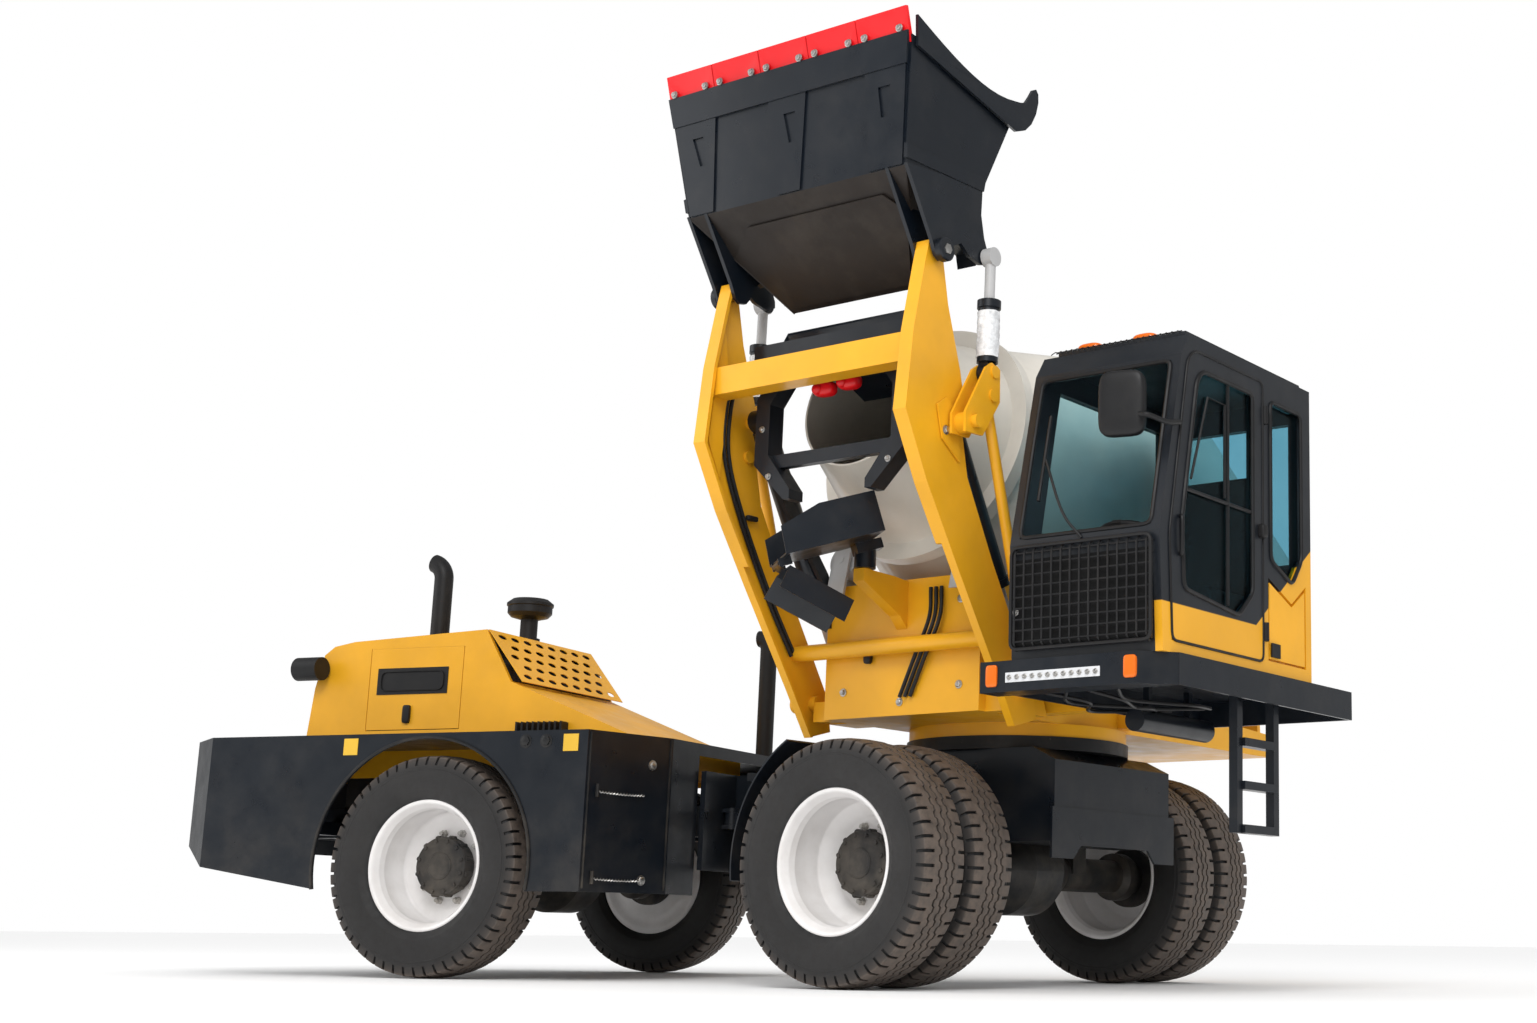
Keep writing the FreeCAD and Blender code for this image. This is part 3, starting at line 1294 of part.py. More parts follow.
lift_barrels = []
lift_rods = []
tilt_barrels = []
tilt_rods = []
for side, sign in SIDES:
    down = SLANT["lift"] + math.pi
    place = leaning("lift_cap_x", "lift_cap_z", down, f"{sign}*lift_out")
    lift_barrels.append(group(f"lift_barrel_set_{side}", [
        cylinder_barrel(f"lift_barrel_{side}", "lift_barrel_radius", "900", "52", "70", "30")], place))
    lift_rods.append(group(f"lift_rod_set_{side}", [
        cylinder_rod(f"lift_rod_{side}", "30", "450", str(round(LIFT_LENGTH, 3)), "50", "66",
                     "lift_barrel_radius - 10")], place))
    place = leaning("tilt_foot_x", "tilt_foot_z", SLANT["tilt"], f"{sign}*lever_out")
    tilt_barrels.append(group(f"tilt_barrel_set_{side}", [
        cylinder_barrel(f"tilt_barrel_{side}", "46", "325", "42", "50", "23")], place))
    tilt_rods.append(group(f"tilt_rod_set_{side}", [
        cylinder_rod(f"tilt_rod_{side}", "23", "222", str(round(TILT_LENGTH, 3)), "42", "50", "36")], place))
node("lift_barrels", "upper", lift_barrels)
node("lift_rods", "upper", lift_rods)
node("tilt_barrels", "upper", tilt_barrels)
node("tilt_rods", "upper", tilt_rods)

LEVER = (
    ("lever_pin_x + 60", "lever_pin_z - 55"),
    ("lever_pin_x + 62", "lever_pin_z + 30"),
    ("tilt_foot_x + 60", "tilt_foot_z + 10"),
    ("tilt_foot_x + 20", "tilt_foot_z + 38"),
    ("tilt_foot_x - 40", "tilt_foot_z + 20"),
    ("link_top_x - 50", "link_top_z - 20"),
    ("lever_pin_x - 60", "lever_pin_z - 50"),
)
levers = []
for side, sign in SIDES:
    sheet_in = plate(f"lever_in_{side}", "XZ", LEVER, "12", f"{sign}*(lever_out - 36)")
    sheet_out = plate(f"lever_out_{side}", "XZ", LEVER, "12", f"{sign}*(lever_out + 36)")
    hub = rod(f"lever_hub_{side}", "Y", "46", ("lever_pin_x", f"{sign}*lever_out - 36", "lever_pin_z"), "72")
    spine = rod(f"lever_pin_{side}", "Y", "pin_radius",
                ("lever_pin_x", f"{sign}*(lever_out - 15) - 85", "lever_pin_z"), "170")
    pin_b = rod(f"lever_tilt_pin_{side}", "Y", "pin_radius",
                ("tilt_foot_x", f"{sign}*lever_out - 50", "tilt_foot_z"), "100")
    pin_c = rod(f"lever_link_pin_{side}", "Y", "pin_radius",
                ("link_top_x", f"{sign}*lever_out - 50", "link_top_z"), "100")
    levers.append(fuse(f"lever_weld_{side}", sheet_in, sheet_out, hub, spine, pin_b, pin_c))
node("tilt_levers", "upper", levers)

link_slant = math.atan2(value("link_top_z - arm_pivot_z"), value("link_top_x - arm_pivot_x"))
link_length = math.hypot(value("link_top_z - arm_pivot_z"), value("link_top_x - arm_pivot_x"))
links = []
for side, sign in SIDES:
    place = leaning("arm_pivot_x", "arm_pivot_z", link_slant, f"{sign}*lever_out")
    bar = rod(f"link_bar_{side}", "X", "24", ("30", "0", "0"), f"{link_length - 60:.3f}")
    eyes = [
        rod(f"link_eye_{side}_{number}", "Z", "40", (f"{along:.3f}", "0", "-25"), "50")
        for number, along in enumerate((0, link_length))
    ]
    holes = [
        rod(f"link_hole_{side}_{number}", "Z", "pin_radius + 0.5", (f"{along:.3f}", "0", "-60"), "120")
        for number, along in enumerate((0, link_length))
    ]
    links.append(group(f"link_set_{side}", [cut(f"link_{side}", fuse(f"link_weld_{side}", bar, *eyes),
                                                *holes)], place))
node("link_rods", "upper", links)

# ---------------------------------------------------------------- bucket


def bucket_side(inset):
    """The bucket's outline from the side: tall front plate, floor slope, back lip with its ear."""
    return (
        (f"bucket_pin_x + 340 - {inset}", "bucket_pin_z + 890"),
        (f"bucket_pin_x + 245 - {inset}", f"bucket_pin_z + 304 + 0.6*{inset}"),
        ("bucket_pin_x - 190", f"bucket_pin_z - 70 + 1.4*{inset}"),
        ("bucket_pin_x - 230", f"bucket_pin_z - 40 + 1.4*{inset}"),
        ("bucket_pin_x - 250", "bucket_pin_z + 330"),
        ("bucket_pin_x - 440", "bucket_pin_z + 830"),
    )


def funnel(inset):
    """The bucket from the front: parallel sides above the fold, drawn in below it to its floor's edge."""
    return (
        (f"-bucket_half + {inset}", "bucket_pin_z + 900"),
        (f"-bucket_half + {inset}", "bucket_pin_z + 304"),
        (f"-bucket_neck + {inset}", "bucket_pin_z - 85"),
        (f"bucket_neck - {inset}", "bucket_pin_z - 85"),
        (f"bucket_half - {inset}", "bucket_pin_z + 304"),
        (f"bucket_half - {inset}", "bucket_pin_z + 900"),
    )


def bucket():
    """A welded scoop: front, floor and two sides drawn in below, open above and at its back."""
    outside = common("bucket_skin_out",
                     plate("bucket_side_out", "XZ", bucket_side("0"), "2*bucket_half + 10"),
                     plate("bucket_front_out", "YZ", funnel("0"), "1400", "bucket_pin_x"))
    inside = common("bucket_skin_in",
                    plate("bucket_side_in", "XZ", (
                        ("bucket_pin_x + 340 - bucket_skin", "bucket_pin_z + 891"),
                        ("bucket_pin_x + 245 - bucket_skin", "bucket_pin_z + 304 + 0.6*bucket_skin"),
                        ("bucket_pin_x - 191", "bucket_pin_z - 70 + 1.4*bucket_skin"),
                        ("bucket_pin_x - 600", "bucket_pin_z - 70 + 1.4*bucket_skin"),
                        ("bucket_pin_x - 600", "bucket_pin_z + 891"),
                    ), "2*bucket_half"),
                    plate("bucket_front_in", "YZ", funnel("bucket_skin"), "1500", "bucket_pin_x"))
    fittings = []
    for side, sign in SIDES:
        for tag, out in (("in", "arm_out - arm_flange - 22"), ("out", "arm_out + 14")):
            fittings.append(plate(f"bucket_lug_{tag}_{side}", "XZ", (
                ("bucket_pin_x + 45", "bucket_pin_z - 20"),
                ("bucket_pin_x + 20", "bucket_pin_z - 45"),
                ("bucket_pin_x - 40", "bucket_pin_z - 40"),
                ("bucket_pin_x - 150", "bucket_pin_z + 110"),
                ("bucket_pin_x - 100", "bucket_pin_z + 250"),
                ("bucket_pin_x + 150", "bucket_pin_z + 250"),
            ), "18", f"{sign}*({out})"))
        for tag, out in (("in", "lever_out - 32.6"), ("out", "lever_out + 31")):
            fittings.append(plate(f"tilt_ear_{tag}_{side}", "XZ", (
                ("tilt_eye_x + 45", "tilt_eye_z - 30"),
                ("tilt_eye_x", "tilt_eye_z - 45"),
                ("tilt_eye_x - 45", "tilt_eye_z - 10"),
                ("tilt_eye_x - 20", "tilt_eye_z + 300"),
                ("tilt_eye_x + 200", "tilt_eye_z + 260"),
            ), "12" if tag == "in" else "10", f"{sign}*({out})"))
        fittings.append(plate(f"bucket_horn_{side}", "XZ", (
            ("bucket_pin_x + 330", "bucket_pin_z + 940"),
            ("bucket_pin_x + 300", "bucket_pin_z + 830"),
            ("bucket_pin_x - 400", "bucket_pin_z + 770"),
            ("bucket_pin_x - 560", "bucket_pin_z + 905"),
            ("bucket_pin_x - 575", "bucket_pin_z + 950"),
            ("bucket_pin_x - 510", "bucket_pin_z + 955"),
            ("bucket_pin_x - 360", "bucket_pin_z + 860"),
        ), "12", f"{sign}*(bucket_half - 6)"))
        fittings.append(rod(f"bucket_pin_{side}", "Y", "pin_radius",
                            ("bucket_pin_x", f"{sign}*567 - 70", "bucket_pin_z"), "140"))
    return cut("bucket_scoop", outside, inside), fittings


scoop, fittings = bucket()
node("bucket", "upper", [fuse("bucket_weld", scoop, *fittings)])
node("cutting_edge", "upper", [
    plate("edge_shape", "XZ", (
        ("bucket_pin_x + 325.8", "bucket_pin_z + 800"),
        ("bucket_pin_x + 351.7", "bucket_pin_z + 960"),
        ("bucket_pin_x + 371.7", "bucket_pin_z + 960"),
        ("bucket_pin_x + 345.8", "bucket_pin_z + 800"),
    ), "2*bucket_half")
])

# ---------------------------------------------------------------- stand, check and write

doc.recompute()


def faults():
    """Objects that did not rebuild and sub-parts without a sound shape."""
    bad = [thing.Name for thing in doc.Objects if {"Invalid", "Error"} & set(thing.State)]
    for part in parts:
        if part.Shape.isNull() or not part.Shape.isValid() or not part.Shape.Solids:
            bad.append(part.Label)
    return bad


problems = faults()
if problems:
    raise RuntimeError("not rebuilt: " + ", ".join(problems))

# the origin is on the ground under the middle of the whole machine
reach = FreeCAD.BoundBox()
for part in parts:
    reach.add(part.Shape.optimalBoundingBox(False))
shift = Placement(Vector(-reach.Center.x, -reach.Center.y, 0), Rotation())
for part in parts:
    part.Placement = shift * part.Placement
doc.recompute()

os.makedirs("parts", exist_ok=True)
for part in parts:
    part.Shape.exportStep(f"parts/{part.Label}.step")
print(f"{len(parts)} sub-parts, origin moved by {shift.Base.x:.3f}, {shift.Base.y:.3f}")
fold = shift * STAND["upper"] * chute_frame * fold_place
line = fold.Base
along = fold.Rotation.multVec(Vector(0, 1, 0))
print(f"fold line at {line.x:.3f}, {line.y:.3f}, {line.z:.3f} axis {along.x:.6f}, {along.y:.6f}, {along.z:.6f}")
print(f"whole {reach.XLength:.1f} x {reach.YLength:.1f} x {reach.ZLength:.1f}, from z {reach.ZMin:.3f}")
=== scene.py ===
import json

import bpy
import numpy as np
from mathutils import Matrix, Vector
from mathutils.geometry import tessellate_polygon

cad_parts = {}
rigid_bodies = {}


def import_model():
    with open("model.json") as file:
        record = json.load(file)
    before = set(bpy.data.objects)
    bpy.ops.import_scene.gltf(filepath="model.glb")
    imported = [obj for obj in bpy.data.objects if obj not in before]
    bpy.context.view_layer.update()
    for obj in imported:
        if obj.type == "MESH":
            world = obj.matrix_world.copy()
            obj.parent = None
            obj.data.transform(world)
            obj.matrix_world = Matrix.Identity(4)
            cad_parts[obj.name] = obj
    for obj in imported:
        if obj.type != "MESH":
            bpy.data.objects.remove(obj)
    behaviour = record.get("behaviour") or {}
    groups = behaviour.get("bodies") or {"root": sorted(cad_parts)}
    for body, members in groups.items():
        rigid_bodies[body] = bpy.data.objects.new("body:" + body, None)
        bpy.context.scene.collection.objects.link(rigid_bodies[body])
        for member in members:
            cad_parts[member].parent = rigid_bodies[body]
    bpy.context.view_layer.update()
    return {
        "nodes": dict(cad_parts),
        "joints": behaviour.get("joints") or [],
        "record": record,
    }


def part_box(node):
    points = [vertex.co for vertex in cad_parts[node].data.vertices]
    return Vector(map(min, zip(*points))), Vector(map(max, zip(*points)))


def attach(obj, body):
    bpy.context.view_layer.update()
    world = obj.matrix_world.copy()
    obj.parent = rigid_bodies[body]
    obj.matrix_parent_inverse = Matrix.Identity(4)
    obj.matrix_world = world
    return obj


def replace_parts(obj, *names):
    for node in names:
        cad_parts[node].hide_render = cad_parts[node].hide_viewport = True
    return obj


for stray in list(bpy.data.objects):
    bpy.data.objects.remove(stray)
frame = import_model()
node = frame["nodes"]
pin = {joint["name"]: joint for joint in frame["joints"]}

# --- Rear frame, tow eye and steering feet ------------------------------------------
# Welded rails of rolled plate under the engine tub, sprayed near-black over primer: a
# gloss coat with fine orange peel, faint cloudiness, road dust and a few stone chips.


def wire(tree, source, target):
    """Joins an output socket to an input socket."""
    tree.links.new(source, target)


def blank(name):
    """An empty node material: its tree, its Principled shader and its object coordinates."""
    material = bpy.data.materials.new(name)
    material.use_nodes = True
    tree = material.node_tree
    shader = tree.nodes["Principled BSDF"]
    place = tree.nodes.new("ShaderNodeTexCoord").outputs["Object"]
    return material, tree, shader, place


def noise(tree, place, scale, detail=4.0, rough=0.55):
    """Fractal noise at a number of cells a metre."""
    texture = tree.nodes.new("ShaderNodeTexNoise")
    texture.inputs["Scale"].default_value = scale
    texture.inputs["Detail"].default_value = detail
    texture.inputs["Roughness"].default_value = rough
    wire(tree, place, texture.inputs["Vector"])
    return texture.outputs["Fac"]


def span(tree, value, low, high, to_low=0.0, to_high=1.0):
    """A value carried in a straight line from one range to another, held at both ends."""
    band = tree.nodes.new("ShaderNodeMapRange")
    band.inputs["From Min"].default_value = low
    band.inputs["From Max"].default_value = high
    band.inputs["To Min"].default_value = to_low
    band.inputs["To Max"].default_value = to_high
    wire(tree, value, band.inputs["Value"])
    return band.outputs["Result"]


def times(tree, first, second):
    """The product of two values."""
    product = tree.nodes.new("ShaderNodeMath")
    product.operation = "MULTIPLY"
    wire(tree, first, product.inputs[0])
    wire(tree, second, product.inputs[1])
    return product.outputs[0]


def mixed(tree, amount, first, second):
    """Two colours mixed by an amount; each is a socket or three numbers."""
    mix = tree.nodes.new("ShaderNodeMix")
    mix.data_type = "RGBA"
    wire(tree, amount, mix.inputs["Factor"])
    for slot_name, colour in (("A", first), ("B", second)):
        socket = next(s for s in mix.inputs if s.name == slot_name and s.type == "RGBA")
        if isinstance(colour, tuple):
            socket.default_value = (*colour, 1.0)
        else:
            wire(tree, colour, socket)
    return next(s for s in mix.outputs if s.type == "RGBA")


def relief(tree, height, distance, strength=1.0):
    """A normal bumped by a height of a real distance in metres."""
    node_bump = tree.nodes.new("ShaderNodeBump")
    node_bump.inputs["Distance"].default_value = distance
    node_bump.inputs["Strength"].default_value = strength
    wire(tree, height, node_bump.inputs["Height"])
    return node_bump.outputs["Normal"]


def low_down(tree, place, high, low):
    """1 below a height in metres, falling to 0 above another."""
    split = tree.nodes.new("ShaderNodeSeparateXYZ")
    wire(tree, place, split.inputs[0])
    return span(tree, split.outputs["Z"], low, high, 1.0, 0.0)


def sprayed(name, colour, gloss=0.3, dust=0.1, chips=0.0, dusty=(0.30, 0.25, 0.19), coat=0.35):
    """Sprayed paint: cloudy colour, dust in patches and more of it low down, and chips to primer."""
    material, tree, shader, place = blank(name)
    cloudy = span(tree, noise(tree, place, 2.3), 0.3, 0.7)
    deep = tuple(c * 0.88 for c in colour)
    pale = tuple(min(c * 1.08, 1.0) for c in colour)
    paint = mixed(tree, cloudy, deep, pale)
    patches = noise(tree, place, 5.0, 6.0, 0.62)
    film = span(tree, patches, 0.48, 0.85, 0.0, dust)
    paint = mixed(tree, film, paint, dusty)
    splash = times(tree, span(tree, patches, 0.35, 0.7, 0.0, 0.55 * min(dust * 4.0, 1.0)),
                   low_down(tree, place, 0.95, 0.35))
    paint = mixed(tree, splash, paint, dusty)
    if chips:
        chip = span(tree, noise(tree, place, 55.0, 3.0, 0.7), 0.75 - chips, 0.77 - chips)
        paint = mixed(tree, chip, paint, (0.10, 0.08, 0.07))
    wire(tree, paint, shader.inputs["Base Color"])
    wire(tree, span(tree, noise(tree, place, 9.0), 0.3, 0.75, gloss, gloss + 0.2), shader.inputs["Roughness"])
    wire(tree, relief(tree, noise(tree, place, 420.0, 2.0), 0.0004, 0.2), shader.inputs["Normal"])
    shader.inputs["Specular IOR Level"].default_value = 0.35
    shader.inputs["Coat Weight"].default_value = coat
    shader.inputs["Coat Roughness"].default_value = 0.1
    return material


def repaint(finish, *names):
    """A CAD node keeps its shape and takes a finish."""
    for name in names:
        node[name].data.materials.clear()
        node[name].data.materials.append(finish)


navy = sprayed("navy_paint", (0.0045, 0.0075, 0.0125), gloss=0.26, dust=0.035, coat=0.2)
frame_black = sprayed("frame_black", (0.008, 0.0085, 0.0095), gloss=0.42, dust=0.1, chips=0.02, coat=0.1)
repaint(navy, "rear_body", "front_frame", "front_fenders", "access_ladder", "cab_platform")
repaint(frame_black, "rear_frame", "rear_axle", "front_axle", "steering_barrel_left", "steering_barrel_right")

# --- Tyres --------------------------------------------------------------------------
# Road-tread truck tyres on six wheels, twins in front: steel-cord rubber, moulded with
# three zigzag grooves, notched shoulders and rings on the sidewall, dusty where it rolls.

PITCHES = 54
GROOVES = (-0.043, 0.0, 0.043)
SIDES = (("left", 1.0), ("right", -1.0))


def mesh_piece(name, parts, body, finish, smooth=35.0, keep=None):
    """One object from (points, faces) parts, smooth below an angle in degrees, riding on a body."""
    points = np.concatenate([np.asarray(p, float).reshape(-1, 3) for p, _ in parts])
    faces = []
    start = 0
    for part_points, part_faces in parts:
        faces.extend([tuple(int(v) + start for v in face) for face in part_faces])
        start += len(np.asarray(part_points).reshape(-1, 3))
    mesh = bpy.data.meshes.new(name)
    mesh.from_pydata(points.tolist(), [], faces)
    mesh.polygons.foreach_set("use_smooth", np.ones(len(mesh.polygons), bool))
    mesh.set_sharp_from_angle(angle=np.radians(smooth))
    if keep is not None:
        value = mesh.attributes.new("wear", "FLOAT", "POINT")
        value.data.foreach_set("value", np.asarray(keep, np.float32))
    mesh.materials.append(finish)
    shape = bpy.data.objects.new(name, mesh)
    bpy.context.scene.collection.objects.link(shape)
    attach(shape, body)
    return shape


def quads(rows, columns, close_rows=False, close_columns=False):
    """The faces of a grid of points, row by row, joined up at its ends where it closes."""
    i = np.arange(rows if close_rows else rows - 1)[:, None]
    j = np.arange(columns if close_columns else columns - 1)[None, :]
    up, on = (i + 1) % rows, (j + 1) % columns
    return np.stack([i * columns + j, i * columns + on, up * columns + on, up * columns + j],
                    -1).reshape(-1, 4)


def axle_frame(axis):
    """Three unit vectors: along an axis, level across it, and upright to both."""
    along = np.asarray(axis, float) / np.linalg.norm(axis)
    up = np.array((0.0, 0.0, 1.0)) if abs(along[2]) < 0.9 else np.array((1.0, 0.0, 0.0))
    across = np.cross(along, up)
    across /= np.linalg.norm(across)
    return along, across, np.cross(across, along)


def turned(profile, centre, axis, steps=64, closed=True):
    """A profile of (distance along the axis, radius) carried round it in a number of steps.
    Points wind so that a profile listed with its material on the left faces outwards."""
    along, across, up = axle_frame(axis)
    profile = np.asarray(profile, float)
    angle = np.linspace(0, 2 * np.pi, steps, endpoint=False)
    ring = np.cos(angle)[:, None] * across + np.sin(angle)[:, None] * up
    points = centre + profile[None, :, :1] * along + profile[None, :, 1:] * ring[:, None, :]
    return points.reshape(-1, 3), quads(steps, len(profile), True, closed)


def tyre(centre, axis):
    """Radius is the mould's profile less the grooves and notches. Groove columns sway with a
    trapezoid wave of the turn; notch rows sink the shoulder columns. Wear marks what rolls."""
    # lateral place, radius, share of sway, sink in a notch, wear
    half = [
        (-0.095, 0.286, 0, 0, 0), (-0.104, 0.291, 0, 0, 0), (-0.1045, 0.306, 0, 0, 0),
        (-0.110, 0.3085, 0, 0, 0), (-0.120, 0.313, 0, 0, 0), (-0.129, 0.325, 0, 0, 0.05),
        (-0.1385, 0.345, 0, 0, 0.05), (-0.1405, 0.348, 0, 0, 0.05), (-0.1415, 0.353, 0, 0, 0.05),
        (-0.1475, 0.375, 0, 0, 0.05), (-0.1495, 0.400, 0, 0, 0.05), (-0.1495, 0.425, 0, 0, 0.05),
        (-0.1475, 0.447, 0, 0, 0.05), (-0.1485, 0.4485, 0, 0, 0.05), (-0.148, 0.453, 0, 0, 0.05),
        (-0.1462, 0.4545, 0, 0, 0.05), (-0.1445, 0.466, 0, 0, 0.05), (-0.1442, 0.4695, 0, 0.0, 0.1),
        (-0.1425, 0.4725, 0, 0.0, 0.1), (-0.1385, 0.4865, 0, 0.010, 0.2), (-0.133, 0.5045, 0, 0.015, 0.4),
        (-0.1295, 0.5115, 0, 0.016, 0.9), (-0.121, 0.5155, 0, 0.015, 1), (-0.100, 0.5185, 0, 0.013, 1),
        (-0.081, 0.5200, 0, 0.012, 1), (-0.078, 0.5203, 0, 0, 1),
    ]
    crown = []
    for place in GROOVES:
        top = 0.525 - 0.35 * place * place * 2
        crown += [(place - 0.0065, top, 1, 0, 1), (place - 0.0035, top - 0.013, 1, 0, -0.3),
                  (place + 0.0035, top - 0.013, 1, 0, -0.3), (place + 0.0065, top, 1, 0, 1)]
    columns = np.array(half + crown + [(-a, r, s, d, w) for a, r, s, d, w in half[::-1]])
    share = np.array((0.0, 0.15, 0.215, 0.235, 0.435, 0.455, 0.5, 0.65, 0.83))
    sway = np.interp(share, (0.0, 0.15, 0.5, 0.65, 1.0), (1.0, -1.0, -1.0, 1.0, 1.0)) * 0.0062
    notch = np.array((0, 0, 0, 1, 1, 0, 0, 0, 0), float)
    turn = 2 * np.pi * (np.arange(PITCHES)[:, None] + share[None, :]).ravel() / PITCHES
    sway, notch = np.tile(sway, PITCHES), np.tile(notch, PITCHES)
    lateral = columns[None, :, 0] + sway[:, None] * columns[None, :, 2]
    radius = columns[None, :, 1] - notch[:, None] * columns[None, :, 3]
    lateral = lateral - np.sign(lateral) * notch[:, None] * (columns[None, :, 3] > 0) * 0.004
    along, across, up = axle_frame(axis)
    ring = np.cos(turn)[:, None] * across + np.sin(turn)[:, None] * up
    points = centre + lateral[..., None] * along + radius[..., None] * ring[:, None, :]
    wear = columns[None, :, 4] * (1 - 1.3 * notch[:, None] * (columns[None, :, 3] > 0))
    return points.reshape(-1, 3), quads(len(turn), len(columns), True, True), wear.ravel()


def rubber(name):
    """Black rubber, greyed on the sidewall and dusted brown where it touches the road."""
    material, tree, shader, place = blank(name)
    rolled = tree.nodes.new("ShaderNodeAttribute")
    rolled.attribute_name = "wear"
    grain = noise(tree, place, 26.0, 6.0, 0.65)
    dusted = times(tree, span(tree, rolled.outputs["Fac"], 0.0, 1.0), span(tree, grain, 0.3, 0.62, 0.45, 1.0))
    side = mixed(tree, span(tree, noise(tree, place, 4.0, 5.0), 0.35, 0.75), (0.0075, 0.0078, 0.0085),
                 (0.017, 0.0165, 0.0165))
    wire(tree, mixed(tree, dusted, side, (0.125, 0.096, 0.077)), shader.inputs["Base Color"])
    wire(tree, span(tree, grain, 0.3, 0.7, 0.5, 0.72), shader.inputs["Roughness"])
    wire(tree, relief(tree, noise(tree, place, 240.0, 3.0), 0.0012, 0.35), shader.inputs["Normal"])
    return material


tyre_rubber = rubber("tyre_rubber")
wheel_white = sprayed("wheel_white", (0.82, 0.80, 0.79), gloss=0.28, dust=0.1)
hub_black = sprayed("hub_black", (0.012, 0.012, 0.013), gloss=0.5, dust=0.12, coat=0.0)
zinc = sprayed("zinc_bolts", (0.42, 0.41, 0.39), gloss=0.3, dust=0.3, coat=0.0)


def hexagon(centre, axis, across_flats, height):
    """A bolt head: a six-sided profile with a chamfered top."""
    r = across_flats / np.sqrt(3)
    profile = [(0.0, 0.0005), (0.0, r), (height * 0.75, r), (height, r * 0.86), (height, 0.0005)]
    return turned(profile[::-1], centre, axis, 6)


# --- Wheels -------------------------------------------------------------------------
# Pressed steel rims, white: a rolled flange, a well and a disc coned in to its bolting
# face. The planetary hub is a black casting with twelve lugs round its cover.


def rim(centre, axis, disc_at):
    """The rim's section carried round: flange, slope, well, and a disc coned to its face."""
    outside = [
        (0.107, 0.309), (0.113, 0.311), (0.117, 0.307), (0.1165, 0.300), (0.112, 0.291), (0.098, 0.286),
        (0.084, 0.274), (0.078, 0.272), (0.060, 0.272), (0.052, 0.268), (0.046, 0.268), (0.040, 0.271),
        (-0.080, 0.271), (-0.086, 0.268), (-0.092, 0.268), (-0.098, 0.262), (-0.102, 0.250),
        (disc_at + 0.016, 0.205), (disc_at + 0.012, 0.192), (disc_at + 0.012, 0.110), (disc_at, 0.110),
        (disc_at, 0.196), (disc_at + 0.006, 0.210), (-0.112, 0.258), (-0.117, 0.275), (-0.117, 0.303),
        (-0.113, 0.309), (-0.107, 0.307), (-0.100, 0.290), (0.100, 0.290),
    ]
    return turned(outside, centre, axis, 96)


def hub(centre, axis, face, depth):
    """A stepped casting on the bolting face, with a lug over each of its cover's bolts."""
    section = [
        (face - depth, 0.088), (face - 0.042, 0.088), (face - 0.042, 0.149), (face - 0.0005, 0.149),
        (face - 0.0005, 0.109), (face + 0.018, 0.109), (face + 0.018, 0.132), (face + 0.040, 0.136),
        (face + 0.044, 0.141), (face + 0.092, 0.141), (face + 0.100, 0.137), (face + 0.104, 0.118),
        (face + 0.107, 0.114), (face + 0.107, 0.066), (face + 0.111, 0.063), (face + 0.112, 0.055),
        (face + 0.110, 0.052), (face + 0.110, 0.0005), (face - depth, 0.0005),
    ]
    parts = [turned(section[::-1], centre, axis, 72)]
    along, across, up = axle_frame(axis)
    for step in range(12):
        angle = 2 * np.pi * (step + 0.5) / 12
        outward = np.cos(angle) * across + np.sin(angle) * up
        foot = centre + along * (face + 0.052) + outward * 0.138
        lug = [(0.0, 0.0005), (0.0, 0.013), (0.036, 0.013), (0.042, 0.010), (0.042, 0.0005)]
        parts.append(turned(lug[::-1], foot, along, 16))
        parts.append(hexagon(centre + along * (face + 0.104) + outward * 0.122, along, 0.017, 0.007))
    return parts


def wheels(axle, side, sign, twin):
    """The tyres, rims, hub and wheel nuts of one end of an axle."""
    body = f"{axle}_wheel{'s' if twin else ''}_{side}"
    spin = pin[f"{body}_spin"]
    axis = np.array(spin["axis"]) * sign
    low, high = (np.array(v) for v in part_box(f"{axle}_tyre_{side}"))
    middle = (low + high) / 2
    outer = middle + axis * (0.168 if twin else 0.0)
    disc = -0.168 if twin else -0.118
    tyres = [tyre(outer, axis)]
    rims = [rim(outer, axis, disc)]
    if twin:
        inner = middle - axis * 0.168
        tyres.append(tyre(inner, axis))
        rims.append(rim(inner, -axis, disc))
    rubber_piece = mesh_piece(f"tyre_{axle}_{side}", [t[:2] for t in tyres], body, tyre_rubber,
                              30.0, np.concatenate([t[2] for t in tyres]))
    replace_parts(rubber_piece, f"{axle}_tyre_{side}")
    steel = mesh_piece(f"rim_{axle}_{side}", rims, body, wheel_white, 50.0)
    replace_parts(steel, f"{axle}_wheel_{side}")
    mesh_piece(f"hub_{axle}_{side}", hub(outer, axis, disc, 0.122), body, hub_black, 40.0)
    along, across, up = axle_frame(axis)
    nuts = []
    for step in range(10):
        angle = 2 * np.pi * step / 10
        outward = np.cos(angle) * across + np.sin(angle) * up
        foot = outer + along * (disc + 0.012) + outward * 0.168
        nuts.append(hexagon(foot, along, 0.032, 0.018))
        stud = [(0.0, 0.0005), (0.0, 0.010), (0.034, 0.010), (0.036, 0.008), (0.036, 0.0005)]
        nuts.append(turned(stud[::-1], foot, along, 12))
    mesh_piece(f"wheel_nuts_{axle}_{side}", nuts, body, zinc, 30.0)


for side, sign in SIDES:
    wheels("front", side, sign, True)
    wheels("rear", side, sign, False)

# --- Bucket and cutting edge ----------------------------------------------------------
# A folded sheet-steel scoop, held up and tipped back: three tapered straps with pressed
# pockets on its front, flared side bands that end in horns, and a bolted, scalloped edge
# in five lengths, sprayed red over the navy of the rest.

UPPER = np.array(pin["slew"]["pos_m"][:2] + [0.0])


def up(points):
    """World points from (ahead of the slewing axis, to its left, height): the upper looks along -Y."""
    p = np.asarray(points, float).reshape(-1, 3)
    return UPPER + np.stack([p[:, 1], -p[:, 0], p[:, 2]], -1)


